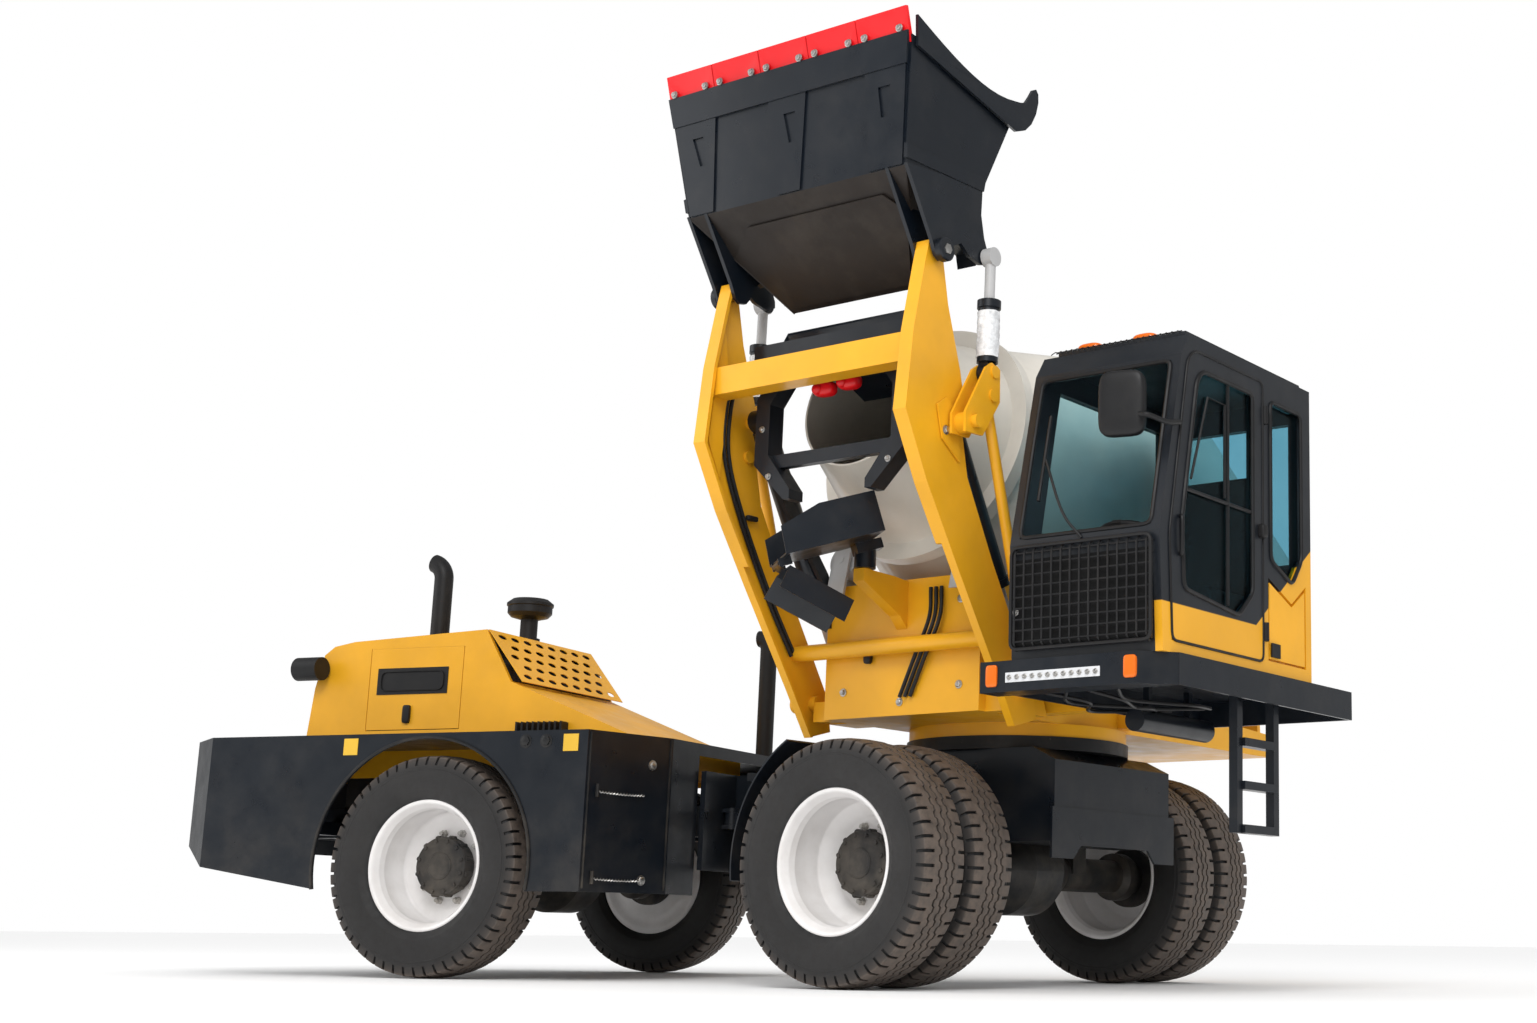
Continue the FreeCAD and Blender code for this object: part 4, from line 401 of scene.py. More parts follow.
def sheet(loop, thick, holes=()):
    """A flat or slightly warped outline, given a thickness behind its face, with holes through it.
    Its face looks to where the outline runs anticlockwise; back = face - thickness * normal."""
    rings = [np.asarray(r, float).reshape(-1, 3) for r in (loop, *holes)]
    first = rings[0]
    after = np.roll(first, -1, 0)
    normal = np.cross(first, after).sum(0)
    normal /= np.linalg.norm(normal)
    flat = np.concatenate(rings)
    total = len(flat)
    faces = []
    for a, b, c in tessellate_polygon([[Vector(v) for v in ring] for ring in rings]):
        turn = np.dot(np.cross(flat[b] - flat[a], flat[c] - flat[a]), normal)
        a, b, c = (a, b, c) if turn > 0 else (a, c, b)
        faces += [(a, b, c), (a + total, c + total, b + total)]
    start = 0
    for number, ring in enumerate(rings):
        count = len(ring)
        area = np.dot(np.cross(ring, np.roll(ring, -1, 0)).sum(0), normal)
        ahead = (area > 0) == (number == 0)
        for i in range(count):
            a, b = start + i, start + (i + 1) % count
            a, b = (a, b) if ahead else (b, a)
            faces.append((a, a + total, b + total, b))
        start += count
    return np.concatenate([flat, flat - thick * normal]), faces


def tube(path, radius, sides=12):
    """A round bar or hose along a path, closed at both ends; its rings stand square to the path."""
    path = np.asarray(path, float)
    ahead = np.gradient(path, axis=0)
    ahead /= np.linalg.norm(ahead, axis=1)[:, None]
    rings = []
    across = np.cross(ahead[0], (0.3, 0.2, 0.9))
    for here, way in zip(path, ahead):
        across = across - np.dot(across, way) * way
        across /= np.linalg.norm(across)
        lift = np.cross(way, across)
        angle = np.linspace(0, 2 * np.pi, sides, endpoint=False)
        rings.append(here + radius * (np.cos(angle)[:, None] * across + np.sin(angle)[:, None] * lift))
    points = np.concatenate(rings)
    faces = [tuple(f) for f in quads(len(path), sides, False, True)]
    last = len(points) - sides
    return points, faces + [tuple(range(sides))[::-1], tuple(range(last, last + sides))]


def bend(points, steps=8):
    """A smooth path through points: a Catmull-Rom curve sampled a number of times in each span."""
    p = np.asarray(points, float)
    p = np.concatenate([2 * p[:1] - p[1:2], p, 2 * p[-1:] - p[-2:-1]])
    t = np.linspace(0, 1, steps, endpoint=False)[:, None]
    curve = [
        0.5 * (2 * b + (c - a) * t + (2 * a - 5 * b + 4 * c - d) * t**2 + (3 * b - a - 3 * c + d) * t**3)
        for a, b, c, d in zip(p, p[1:], p[2:], p[3:])
    ]
    return np.concatenate([*curve, p[-2:-1]])


def nuts(spots, way, radius=0.014):
    """Domed hexagon bolt heads on washers, standing out along a direction."""
    parts = []
    for spot in spots:
        spot = np.asarray(spot, float)
        way_n = np.asarray(way, float) / np.linalg.norm(way)
        washer = [(-0.004, 0.0005), (-0.004, radius * 1.35), (0.002, radius * 1.35), (0.003, radius * 1.2),
                  (0.003, 0.0005)]
        head = [(0.002, 0.0005), (0.002, radius), (0.010, radius), (0.013, radius * 0.75), (0.014, 0.0005)]
        parts.append(turned(washer[::-1], spot, way_n, 16, False))
        parts.append(turned(head[::-1], spot, way_n, 6, False))
    return parts


def slab(low, high):
    """A box between two corners in the upper's frame, as a sheet with its thickness along height."""
    (x0, y0, z0), (x1, y1, z1) = low, high
    return sheet(up([(x0, y0, z1), (x1, y0, z1), (x1, y1, z1), (x0, y1, z1)]), z1 - z0)


def front_point(across, down):
    """A point of the bucket's front: across from -1 to 1, down from its lip (0) to its fold (1).
    x = 1.822 - 0.087 down, z = 3.90 - 0.536 down, and the half width shrinks from 0.69 to 0.615 m."""
    return (1.822 - 0.087 * down, across * (0.69 - 0.075 * down), 3.90 - 0.536 * down)


def bucket():
    """Front, straps, sides, horned bands, brackets and the funnel floor, then the red edge."""
    body, dusty_floor, edge, heads = [], [], [], []
    body.append(sheet(up([front_point(-1, 0), front_point(1, 0), front_point(1, 1),
                          front_point(-1, 1)])[::-1], 0.010))
    out = np.array([0.0, -0.009, 0.0])
    straps = ((-0.99, -0.62, -0.99, -0.76, -0.80), (-0.155, 0.17, -0.135, 0.07, 0.02),
              (0.66, 0.99, 0.70, 0.99, 0.82))
    for top_left, top_right, low_left, low_right, pocket in straps:
        loop = [front_point(top_left, 0.22), front_point(top_right, 0.22),
                front_point(low_right, 0.995), front_point(low_left, 0.995)]
        hole = [front_point(pocket - 0.05, 0.36), front_point(pocket + 0.05, 0.36),
                front_point(pocket + 0.03, 0.60), front_point(pocket - 0.02, 0.60)]
        body.append(sheet((up(loop) + out)[::-1], 0.0085, [up(hole) + out]))
    body.append(sheet((up([front_point(-1.0, -0.02), front_point(1.0, -0.02), front_point(1.0, 0.23),
                           front_point(-1.0, 0.23)]) + 1.6 * out)[::-1], 0.016))
    neck = 0.36
    dusty_floor.append(sheet(up([(1.735, -0.615, 3.364), (1.735, 0.615, 3.364), (1.30, neck, 2.995),
                                 (1.30, -neck, 2.995)])[::-1], 0.010))
    panel = [(1.66, -0.33, 3.294), (1.66, 0.44, 3.294), (1.585, 0.515, 3.232), (1.33, 0.345, 3.008),
             (1.33, -0.345, 3.008), (1.555, -0.50, 3.208)]
    dusty_floor.append(sheet((up(panel) + np.array([0, -0.005, -0.006]))[::-1], 0.006))
    for sign in (-1, 1):
        step = 1 if sign > 0 else -1
        side = [(1.815, sign * 0.69, 3.90), (1.735, sign * 0.615, 3.364), (1.22, sign * 0.625, 3.42),
                (1.07, sign * 0.69, 3.84)]
        body.append(sheet(up(side)[::-step], 0.010))
        lower = [(1.735, sign * 0.615, 3.364), (1.30, sign * neck, 2.995), (1.27, sign * neck, 3.03),
                 (1.22, sign * 0.62, 3.42)]
        dusty_floor.append(sheet(up(lower)[::-step], 0.008))
        bracket = [(1.74, 3.37), (1.22, 3.425), (1.225, 3.30), (1.20, 3.20), (1.165, 3.13), (1.163, 3.10),
                   (1.185, 3.085),
                   (1.22, 3.075), (1.30, 3.09), (1.36, 3.13), (1.42, 3.10), (1.44, 3.045), (1.46,
                                                                                            3.02), (1.50,
                                                                                                    3.012),
                   (1.53, 3.03), (1.56, 3.09)]
        body.append(sheet(up([(x, sign * 0.634, z) for x, z in bracket])[::-step], 0.018))
        body.append(sheet(up([(x, sign * 0.53, z) for x, z in bracket if x > 1.4 or z > 3.2])[::-step],
                          0.018))
        crease = [(1.745, sign * 0.638, 3.39), (1.755, sign * 0.645, 3.45), (1.21, sign * 0.645, 3.47),
                  (1.215, sign * 0.638, 3.41)]
        body.append(sheet(up(crease)[::-step], 0.02))
        s = np.linspace(0, 1, 12)
        top = [(1.805 - 0.70 * t, sign * 0.706,
                3.985 - 0.17 * np.sin(np.pi * 0.5 * t) + 0.04 * t**4) for t in s]
        horn = [(1.07, 3.862), (1.035, 3.875), (1.005, 3.915), (0.98, 3.955), (0.955, 3.968), (0.938, 3.95),
                (0.936, 3.91),
                (0.952, 3.85), (0.985, 3.79), (1.03, 3.745)]
        low = [(1.09, sign * 0.700, 3.72), (1.79, sign * 0.700, 3.855)]
        band = top + [(x, sign * 0.706, z) for x, z in horn] + low
        body.append(sheet(up(band)[::step], 0.014))
        for x, z, wide in ((1.49, 3.06, 0.052), (1.19, 3.11, 0.038)):
            collar = [(-0.012, 0.02), (-0.012, wide), (0.014, wide), (0.02, wide - 0.007), (0.02, 0.02)]
            body.append(turned(collar[::-1], up((x, sign * 0.645, z))[0], (sign, 0, 0), 24))
            heads += nuts(up([(x, sign * 0.66, z)]), (sign, 0, 0), 0.024)
        channel = [(1.36, 3.155), (1.33, 3.235), (1.15, 3.20), (1.13, 3.13), (1.16, 3.10), (1.175, 3.16),
                   (1.31, 3.185), (1.33, 3.14)]
        body.append(sheet(up([(x, sign * 0.56, z) for x, z in channel])[::-step], 0.10))
    width = 1.39 / 5
    for number in range(5):
        middle = -0.695 + width * (number + 0.5)
        u = np.linspace(-0.49, 0.49, 41)
        arch = np.clip(1 - (u / 0.27)**2, 0, None)**0.5 * 0.055
        lower = np.stack([1.838 - 0.025 * (1 - arch / 0.14), middle + u * width, 3.865 + arch], -1)
        upper = np.array([(1.856, middle + 0.49 * width, 4.012), (1.856, middle - 0.49 * width, 4.012)])
        edge.append(sheet(up(np.concatenate([lower, upper])), 0.018))
        for u in (-0.34, 0.34):
            heads += nuts(up([(1.842, middle + u * width, 3.925)]), (0, -1, 0), 0.013)
    paint_low = sprayed("bucket_floor", (0.016, 0.0115, 0.009), gloss=0.42, dust=0.08, coat=0.0)
    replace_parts(mesh_piece("bucket_shell", body, "bucket", navy), "bucket")
    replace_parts(mesh_piece("bucket_floor", dusty_floor, "bucket", paint_low), "bucket")
    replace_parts(mesh_piece("bucket_edge", edge, "bucket", red), "cutting_edge")
    mesh_piece("bucket_bolts", heads, "bucket", zinc)


red = sprayed("red_paint", (0.72, 0.004, 0.008), gloss=0.3, dust=0.02, coat=0.2)
zinc = sprayed("zinc_plate", (0.50, 0.49, 0.47), gloss=0.28, dust=0.05, coat=0.0)
zinc.node_tree.nodes["Principled BSDF"].inputs["Metallic"].default_value = 1.0
bucket()

# --- Cab --------------------------------------------------------------------------------
# A welded steel cab, near-black above and yellow at its foot, with bonded tinted panes in
# rubber, a wire guard over the radiator, a mirror pod, a roof guard with beacons, a grab
# handle, a wiper and a bumper with its work-light bar and amber corner lamps.


def two_tone(name, above, below):
    """Black over yellow: yellow under the line z = 1.50 + 0.75 (0.5 - x) on the door side, below the sill."""
    material, tree, shader, place = blank(name)
    split = tree.nodes.new("ShaderNodeSeparateXYZ")
    wire(tree, place, split.inputs[0])
    ahead = span(tree, split.outputs["Y"], UPPER[1] - 0.5, UPPER[1] + 0.0, 0.0, 0.40)
    line = tree.nodes.new("ShaderNodeMath")
    line.operation = "SUBTRACT"
    wire(tree, split.outputs["Z"], line.inputs[0])
    wire(tree, ahead, line.inputs[1])
    under = span(tree, line.outputs[0], 1.518, 1.522, 1.0, 0.0)
    beside = span(tree, split.outputs["X"], UPPER[0] + 1.555, UPPER[0] + 1.556, 0.0, 1.0)
    cloudy = span(tree, noise(tree, place, 2.3), 0.3, 0.7)
    dark = mixed(tree, cloudy, above, tuple(c * 1.5 for c in above))
    bright = mixed(tree, cloudy, below, tuple(c * 0.9 for c in below))
    paint = mixed(tree, times(tree, under, beside), dark, bright)
    film = span(tree, noise(tree, place, 5.0, 6.0, 0.62), 0.48, 0.85, 0.0, 0.03)
    wire(tree, mixed(tree, film, paint, (0.3, 0.25, 0.19)), shader.inputs["Base Color"])
    wire(tree, span(tree, noise(tree, place, 9.0), 0.3, 0.75, 0.28, 0.42), shader.inputs["Roughness"])
    wire(tree, relief(tree, noise(tree, place, 420.0, 2.0), 0.0004, 0.2), shader.inputs["Normal"])
    return material


def lens_of(name, colour):
    """A moulded plastic lens with faint ribs."""
    material, tree, shader, place = blank(name)
    wire(tree, mixed(tree, noise(tree, place, 40.0), colour, tuple(c * 0.8 for c in colour)),
         shader.inputs["Base Color"])
    wire(tree, span(tree, noise(tree, place, 60.0), 0.3, 0.7, 0.12, 0.25), shader.inputs["Roughness"])
    return material


def ring_of(loop, radius, sides=8):
    """A seal or frame tube laid once round a loop of points with its corners rounded."""
    p = np.asarray(loop, float)
    before, after = np.roll(p, 1, 0), np.roll(p, -1, 0)
    cut = 0.035
    start = p + cut * (before - p) / np.linalg.norm(before - p, axis=1)[:, None]
    end = p + cut * (after - p) / np.linalg.norm(after - p, axis=1)[:, None]
    t = np.linspace(0, 1, 5)[:, None]
    path = np.concatenate([(1 - t)**2 * a + 2 * t * (1 - t) * b + t**2 * c for a, b, c in zip(start, p, end)])
    count = len(path)
    ahead = np.roll(path, -1, 0) - np.roll(path, 1, 0)
    ahead /= np.linalg.norm(ahead, axis=1)[:, None]
    plane = np.cross(p[1] - p[0], p[2] - p[1])
    plane /= np.linalg.norm(plane)
    across = np.cross(ahead, plane)
    angle = np.linspace(0, 2 * np.pi, sides, endpoint=False)
    c, s = np.cos(angle)[None, :, None], np.sin(angle)[None, :, None]
    rings = path[:, None] + radius * (c * across[:, None] + s * plane)
    return rings.reshape(-1, 3), quads(count, sides, True, True)


def pod(centre, half, turn=0.0, power=4.0, rows=18, columns=32, frame_of=up):
    """A rounded box: |x/a|^p + |y/b|^p + |z/c|^p = 1, turned upright, placed by a frame."""
    v = np.linspace(-np.pi / 2, np.pi / 2, rows)[:, None]
    u = np.linspace(0, 2 * np.pi, columns, endpoint=False)[None, :]

    def root(value):
        return np.sign(value) * np.abs(value)**(2 / power)

    x = half[0] * root(np.cos(v)) * root(np.cos(u))
    y = half[1] * root(np.cos(v)) * root(np.sin(u))
    z = half[2] * root(np.sin(v)) * np.ones_like(u)
    c, s = np.cos(turn), np.sin(turn)
    shape = np.stack([c * x - s * y, s * x + c * y, z], -1)[1:-1]
    rings = shape.reshape(-1, 3)
    ends = np.array([[0, 0, -half[2]], [0, 0, half[2]]])
    count = len(rings)
    faces = [tuple(f) for f in quads(rows - 2, columns, False, True)]
    faces += [(count, (i + 1) % columns, i) for i in range(columns)]
    base = count - columns
    faces += [(count + 1, base + i, base + (i + 1) % columns) for i in range(columns)]
    return frame_of(np.concatenate([rings, ends]) + np.asarray(centre, float)), faces


def cab():
    """Paints the shell and door, then adds seals, guards, mirror, lamps, handle and wiper."""
    shade = two_tone("cab_two_tone", (0.0075, 0.0095, 0.013), (0.80, 0.385, 0.012))
    repaint(shade, "cab_shell", "cab_door")
    rubber_seal, dark, amber, clear, mesh_wire, steel = [], [], [], [], [], []
    out = 1.592
    door_glass = ((0.53, 1.65), (0.65, 1.54), (1.09, 1.59), (1.11, 1.86), (0.995, 2.47), (0.95, 2.52),
                  (0.53, 2.52))
    quarter = ((0.09, 1.86), (0.18, 1.74), (0.37, 1.82), (0.37, 2.525), (0.09, 2.525))
    door = ((0.44, 1.372), (1.175, 1.372), (1.20, 1.80), (1.065, 2.545), (1.01, 2.595), (0.44, 2.595))
    rubber_seal.append(ring_of(up([(x, out, z) for x, z in quarter]), 0.009))
    rubber_seal.append(ring_of(up([(x, out, z) for x, z in door]), 0.006))
    leaf = [ring_of(up([(x, out + 0.001, z) for x, z in door_glass]), 0.010)]
    leaf.append(tube(up([(0.735, out - 0.004, 1.57), (0.735, out - 0.004, 2.51)]), 0.008, 8))
    leaf.append(tube(up([(0.54, out - 0.004, 2.0), (1.08, out - 0.004, 2.0)]), 0.008, 8))
    leaf.append(tube(up([(0.76, out - 0.004, 2.02), (0.76, out - 0.004, 2.42), (0.90, out - 0.004, 2.42),
                         (1.03, out - 0.004, 2.05)]), 0.006, 8))
    screen = [(1.262, 0.907, 1.828), (1.262, 1.545, 1.828), (1.117, 1.545, 2.533), (1.117, 0.907, 2.533)]
    rubber_seal.append(ring_of(up(screen), 0.010))
    for y in np.arange(0.905, 1.545, 0.0455):
        mesh_wire.append(tube(up([(1.262, y, 1.36), (1.286, y, 1.385), (1.292, y, 1.76),
                                  (1.272, y, 1.785)]), 0.0045, 6))
    for z in np.arange(1.395, 1.76, 0.0455):
        mesh_wire.append(tube(up([(1.270, 0.885, z), (1.287, 0.90, z), (1.287, 1.545, z),
                                  (1.270, 1.56, z)]), 0.0045, 6))
    mesh_wire.append(ring_of(up([(1.283, 0.885, 1.365), (1.283, 1.56, 1.365), (1.289, 1.56, 1.785),
                                 (1.289, 0.885, 1.785)]), 0.008))
    mesh_piece("radiator_core", [sheet(up([(1.269, 0.89, 1.378), (1.269, 1.545, 1.378),
                                           (1.269, 1.545, 1.735), (1.269, 0.89, 1.735)]), 0.003)],
               "upper", sprayed("core_black", (0.002, 0.002, 0.0022), gloss=0.7, dust=0.0,
                                coat=0.0))
    near, far = 0.905, 1.54
    for x in np.arange(0.55, 1.04, 0.028):
        mesh_wire.append(tube(up([(x, near, 2.684), (x, far, 2.684)]), 0.0022, 6))
    for y in np.arange(near, far + 0.001, 0.028):
        mesh_wire.append(tube(up([(0.55, y, 2.686), (1.03, y, 2.686), (1.06, y, 2.665)]), 0.0022, 6))
    amber.append(pod((0.92, 1.02, 2.705), (0.045, 0.06, 0.028), 0.0, 3.0))
    amber.append(pod((0.92, 1.30, 2.705), (0.045, 0.06, 0.028), 0.0, 3.0))
    clear.append(pod((1.283, 1.43, 2.32), (0.008, 0.085, 0.12), 0.25, 8.0))
    dark.append(tube(up(bend([(1.14, 1.60, 2.26), (1.24, 1.60, 2.24), (1.33, 1.575, 2.25),
                              (1.335, 1.53, 2.26)])), 0.011))
    dark.append(pod((0.46, 1.60, 1.93), (0.022, 0.022, 0.03), 0.0, 4.0))
    handle = bend([(1.12, 1.595, 1.72), (1.13, 1.607, 1.74), (1.13, 1.609, 1.86), (1.12, 1.595, 1.88)])
    dark.append(tube(up(handle), 0.009, 10))
    for z in (1.50, 2.45):
        dark.append(tube(up([(0.425, 1.597, z - 0.04), (0.425, 1.597, z + 0.04)]), 0.014, 12))
    dark.append(tube(up(bend([(1.272, 1.22, 1.80), (1.268, 1.12, 1.92), (1.22, 1.0, 2.16)])), 0.006, 8))
    dark.append(tube(up([(1.252, 0.99, 1.98), (1.165, 0.985, 2.36)]), 0.008, 8))
    for y, z in ((0.89, 2.24), (1.567, 2.06), (0.9, 1.52)):
        steel += nuts(up([(1.272 - 0.21 * max(z - 1.8, 0) / 0.76, y, z)]), (0, -1, 0), 0.011)
    clear.append(sheet(up([(1.293, 0.87, 1.232), (1.293, 1.33, 1.232), (1.293, 1.33, 1.272),
                           (1.293, 0.87, 1.272)]), 0.006))
    for y in (0.80, 1.47):
        amber.append(pod((1.288, y, 1.262), (0.012, 0.028, 0.045), 0.0, 6.0))
    for y in np.linspace(0.89, 1.31, 12):
        steel += nuts(up([(1.293, y, 1.252)]), (0, -1, 0), 0.008)
    locker = [(0.30, 1.60, 1.40), (0.375, 1.60, 1.40), (0.375, 1.60, 1.46), (0.30, 1.60, 1.46)]
    dark.append(sheet(up(locker)[::-1], 0.006))
    lamp_white = lens_of("lamp_lens", (0.75, 0.76, 0.78))
    amber_lens = lens_of("amber_lens", (0.85, 0.16, 0.005))
    head = pod((1.31, 1.435, 2.32), (0.032, 0.098, 0.135), 0.25, 5.0)
    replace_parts(mesh_piece("mirror_head", [head], "upper", black_plastic), "door_mirror")
    mesh_piece("cab_trim", dark, "upper", black_plastic)
    mesh_piece("cab_seals", rubber_seal, "upper", black_plastic)
    mesh_piece("door_seals", leaf, "cab_door", black_plastic)
    mesh_piece("cab_guards", mesh_wire, "upper", black_plastic)
    mesh_piece("cab_amber", amber, "upper", amber_lens)
    mesh_piece("cab_lamps", clear, "upper", lamp_white)
    mesh_piece("cab_steel", steel, "upper", zinc)


black_plastic = sprayed("black_plastic", (0.009, 0.009, 0.010), gloss=0.4, dust=0.03, coat=0.0)
cab()

# --- Engine hood --------------------------------------------------------------------------
# Folded sheet in yellow: a punched panel stands off the sloping face over black mesh, the
# side doors carry a blank dark plate and a latch, and a finned cooler sits by the nose.

PARKED_TURN = np.radians(15.5)
NOSE_SLOPE = np.radians(59.2)


def tail(points):
    """Engine module metres, x ahead and y left of the hinge, turned 15.5 degrees about it."""
    p = np.asarray(points, float)
    foot = pin["articulation"]["pos_m"]
    c, s = np.cos(PARKED_TURN), np.sin(PARKED_TURN)
    x = foot[0] + c * p[..., 0] - s * p[..., 1]
    y = foot[1] + s * p[..., 0] + c * p[..., 1]
    return np.stack([x, y, p[..., 2]], -1)


def nose(u, v, w):
    """A point on the sloping face: u down it, v across it, w out of it."""
    c, s = np.cos(NOSE_SLOPE), np.sin(NOSE_SLOPE)
    return (-1.6675 + u * c + w * s, v, 1.6255 - u * s + w * c)


def small_pod(frame_of, centre, half):
    """A small rounded box of few faces placed through another frame."""
    return pod(centre, half, 0.0, 5.0, 10, 20, frame_of)


def hood():
    """Punched panel, mesh, plates, latches and fins."""
    lift = lambda u: 0.006 + 0.05 * (u + 0.155) / 0.355
    corners = [(-0.155, -0.484), (-0.155, 0.484), (0.20, 0.484), (0.20, -0.484)]
    panel = tail([nose(u, v, lift(u)) for u, v in corners])
    turn = np.linspace(0, 2 * np.pi, 16, endpoint=False)
    holes = []
    for row in range(5):
        for column in range(8 - row % 2):
            u0, v0 = -0.115 + 0.068 * row, -0.40 + 0.114 * column + 0.057 * (row % 2)
            holes.append(tail([nose(u0 + 0.016 * np.sin(a), v0 + 0.036 * np.cos(a),
                                    lift(u0 + 0.016 * np.sin(a))) for a in turn]))
    mesh_piece("hood_panel", [sheet(panel, 0.004, holes)], "engine_module", yellow_paint)
    backing = tail([nose(u, v * 0.97, 0.002) for u, v in [(-0.15, -0.484), (-0.15, 0.484), (0.16, 0.484),
                                                          (0.16, -0.484)]])
    dark = [sheet(backing, 0.002)]
    for way in (-1, 1):
        y = way * 0.491
        door = []
        plate_at = [(-2.40, 1.435), (-1.965, 1.435), (-1.965, 1.575), (-2.40, 1.575)]
        loop = tail([(x, y, z) for x, z in plate_at])
        door.append(sheet(loop if way < 0 else loop[::-1], 0.006))
        inner = tail([(x, y + way * 0.004, z) for x,
                      z in ((-2.375, 1.455), (-1.99, 1.455), (-1.99, 1.555), (-2.375, 1.555))])
        door.append(ring_of(inner, 0.003, 6))
        door.append(small_pod(tail, (-2.20, y + way * 0.004, 1.33), (0.022, 0.012, 0.048)))
        side = "right" if way < 0 else "left"
        mesh_piece(f"hood_plate_{side}", door, f"hood_door_{side}", black_plastic)
        for x in np.linspace(-1.49, -1.23, 9):
            fin = [(x - 0.006, way * 0.50, 1.155), (x + 0.006, way * 0.50, 1.155),
                   (x + 0.006, way * 0.50, 1.265), (x - 0.006, way * 0.50, 1.27)]
            dark.append(sheet(tail([(a, b + way * 0.05, c) for a, b, c in fin])[:: -way], 0.10))
        dark.append(sheet(tail([(-1.51, way * 0.55, 1.152), (-1.21, way * 0.55, 1.152),
                                (-1.21, way * 0.55, 1.165), (-1.51, way * 0.55, 1.165)])[:: -way], 0.12))
    mesh_piece("hood_dark", dark, "engine_module", black_plastic)


yellow_paint = sprayed("yellow_paint", (0.80, 0.385, 0.012), dust=0.03, coat=0.15)
hood()

# --- Engine tub ------------------------------------------------------------------------------
# A plated tub with rolled lips round its wheel arches, a corner hatch held by chains and
# studs, locking knobs and blank plates, and grease-dusted bolts by the centre hinge.

ARCH_RADIUS = 0.604
TUB_SIDE = 1.203


def tub():
    """Arch lips, hatch seams, chains, studs, knobs and blank plates on both sides."""
    dark, bright, plates = [], [], []
    for way in (-1, 1):
        y = way * TUB_SIDE
        turn = np.radians(np.linspace(-11, 191, 61))
        arc = np.stack([-1.528 + ARCH_RADIUS * np.cos(turn), np.full(61, y),
                        0.525 + ARCH_RADIUS * np.sin(turn)], -1)
        dark.append(tube(tail(arc), 0.008, 8))
        start, end = np.array([-0.65, way * 1.2]), np.array([-0.49, way * 0.70])
        out = np.array([end[1] - start[1], start[0] - end[0]]) * -way
        out = out / np.linalg.norm(out) * np.sign(out[0]) if out[0] else out

        def face(t, z, off):
            spot = start + (end - start) * t + out * off
            return (spot[0], spot[1], z)

        for z in (0.87, 0.47):
            links = [face(t, z + 0.004 * np.sin(i * np.pi / 2) - 0.05 * t * (0.9 - t),
                          0.012 + 0.004 * np.cos(i * np.pi / 2))
                     for i, t in enumerate(np.linspace(0.14, 0.66, 61))]
            bright.append(tube(tail(links), 0.0035, 6))
            dark.append(tube(tail([face(0.12, z - 0.03, 0.012), face(0.12, z + 0.03, 0.012)]), 0.009, 8))
        way_out = tail([(0, 0, 0)])[0] - tail([(-out[0], -out[1], 0)])[0]
        for t, z in ((0.76, 1.01), (0.70, 0.465)):
            bright += nuts(tail([face(t, z, 0.002)]), tuple(way_out), 0.018)
        for t in (0.03, 0.97):
            dark.append(tube(tail([face(t, 0.42, 0.002), face(t, 1.14, 0.002)]), 0.005, 6))
        sideways = tail([(0, way, 0)])[0] - tail([(0, 0, 0)])[0]
        for x in (-0.985, -0.875):
            dark += nuts(tail([(x, way * 1.2, 1.10)]), tuple(sideways), 0.024)
        for x, z in ((-0.74, 1.09), (-1.965, 1.09)):
            corners = ((-0.04, -0.04), (0.04, -0.04), (0.04, 0.04), (-0.04, 0.04))
            loop = tail([(x + dx, y, z + dz) for dx, dz in corners])
            plates.append(sheet(loop if way < 0 else loop[::-1], 0.003))
    mesh_piece("tub_trim", dark, "engine_module", frame_black)
    mesh_piece("tub_chains", bright, "engine_module", zinc)
    mesh_piece("tub_plates", plates, "engine_module",
               sprayed("plate_yellow", (0.70, 0.42, 0.03), gloss=0.35, dust=0.02))


tub()

# --- Loader arms, levers and cylinders ----------------------------------------------------
# Two yellow boomerang arms joined by a cross tube, with gusset plates, hose runs held by
# clips, chromed rods and shipping film still wound round the tilt cylinders.


def film_wrap(name):
    """Clear stretch film: milky patches and creases wound round at a slant."""
    material, tree, shader, place = blank(name)
    crease = noise(tree, place, 26.0, 5.0, 0.7)
    wire(tree, mixed(tree, span(tree, crease, 0.35, 0.65), (0.55, 0.56, 0.57), (0.86, 0.87, 0.88)),
         shader.inputs["Base Color"])
    wire(tree, span(tree, crease, 0.3, 0.7, 0.12, 0.32), shader.inputs["Roughness"])
    wire(tree, relief(tree, crease, 0.006, 0.8), shader.inputs["Normal"])
    return material


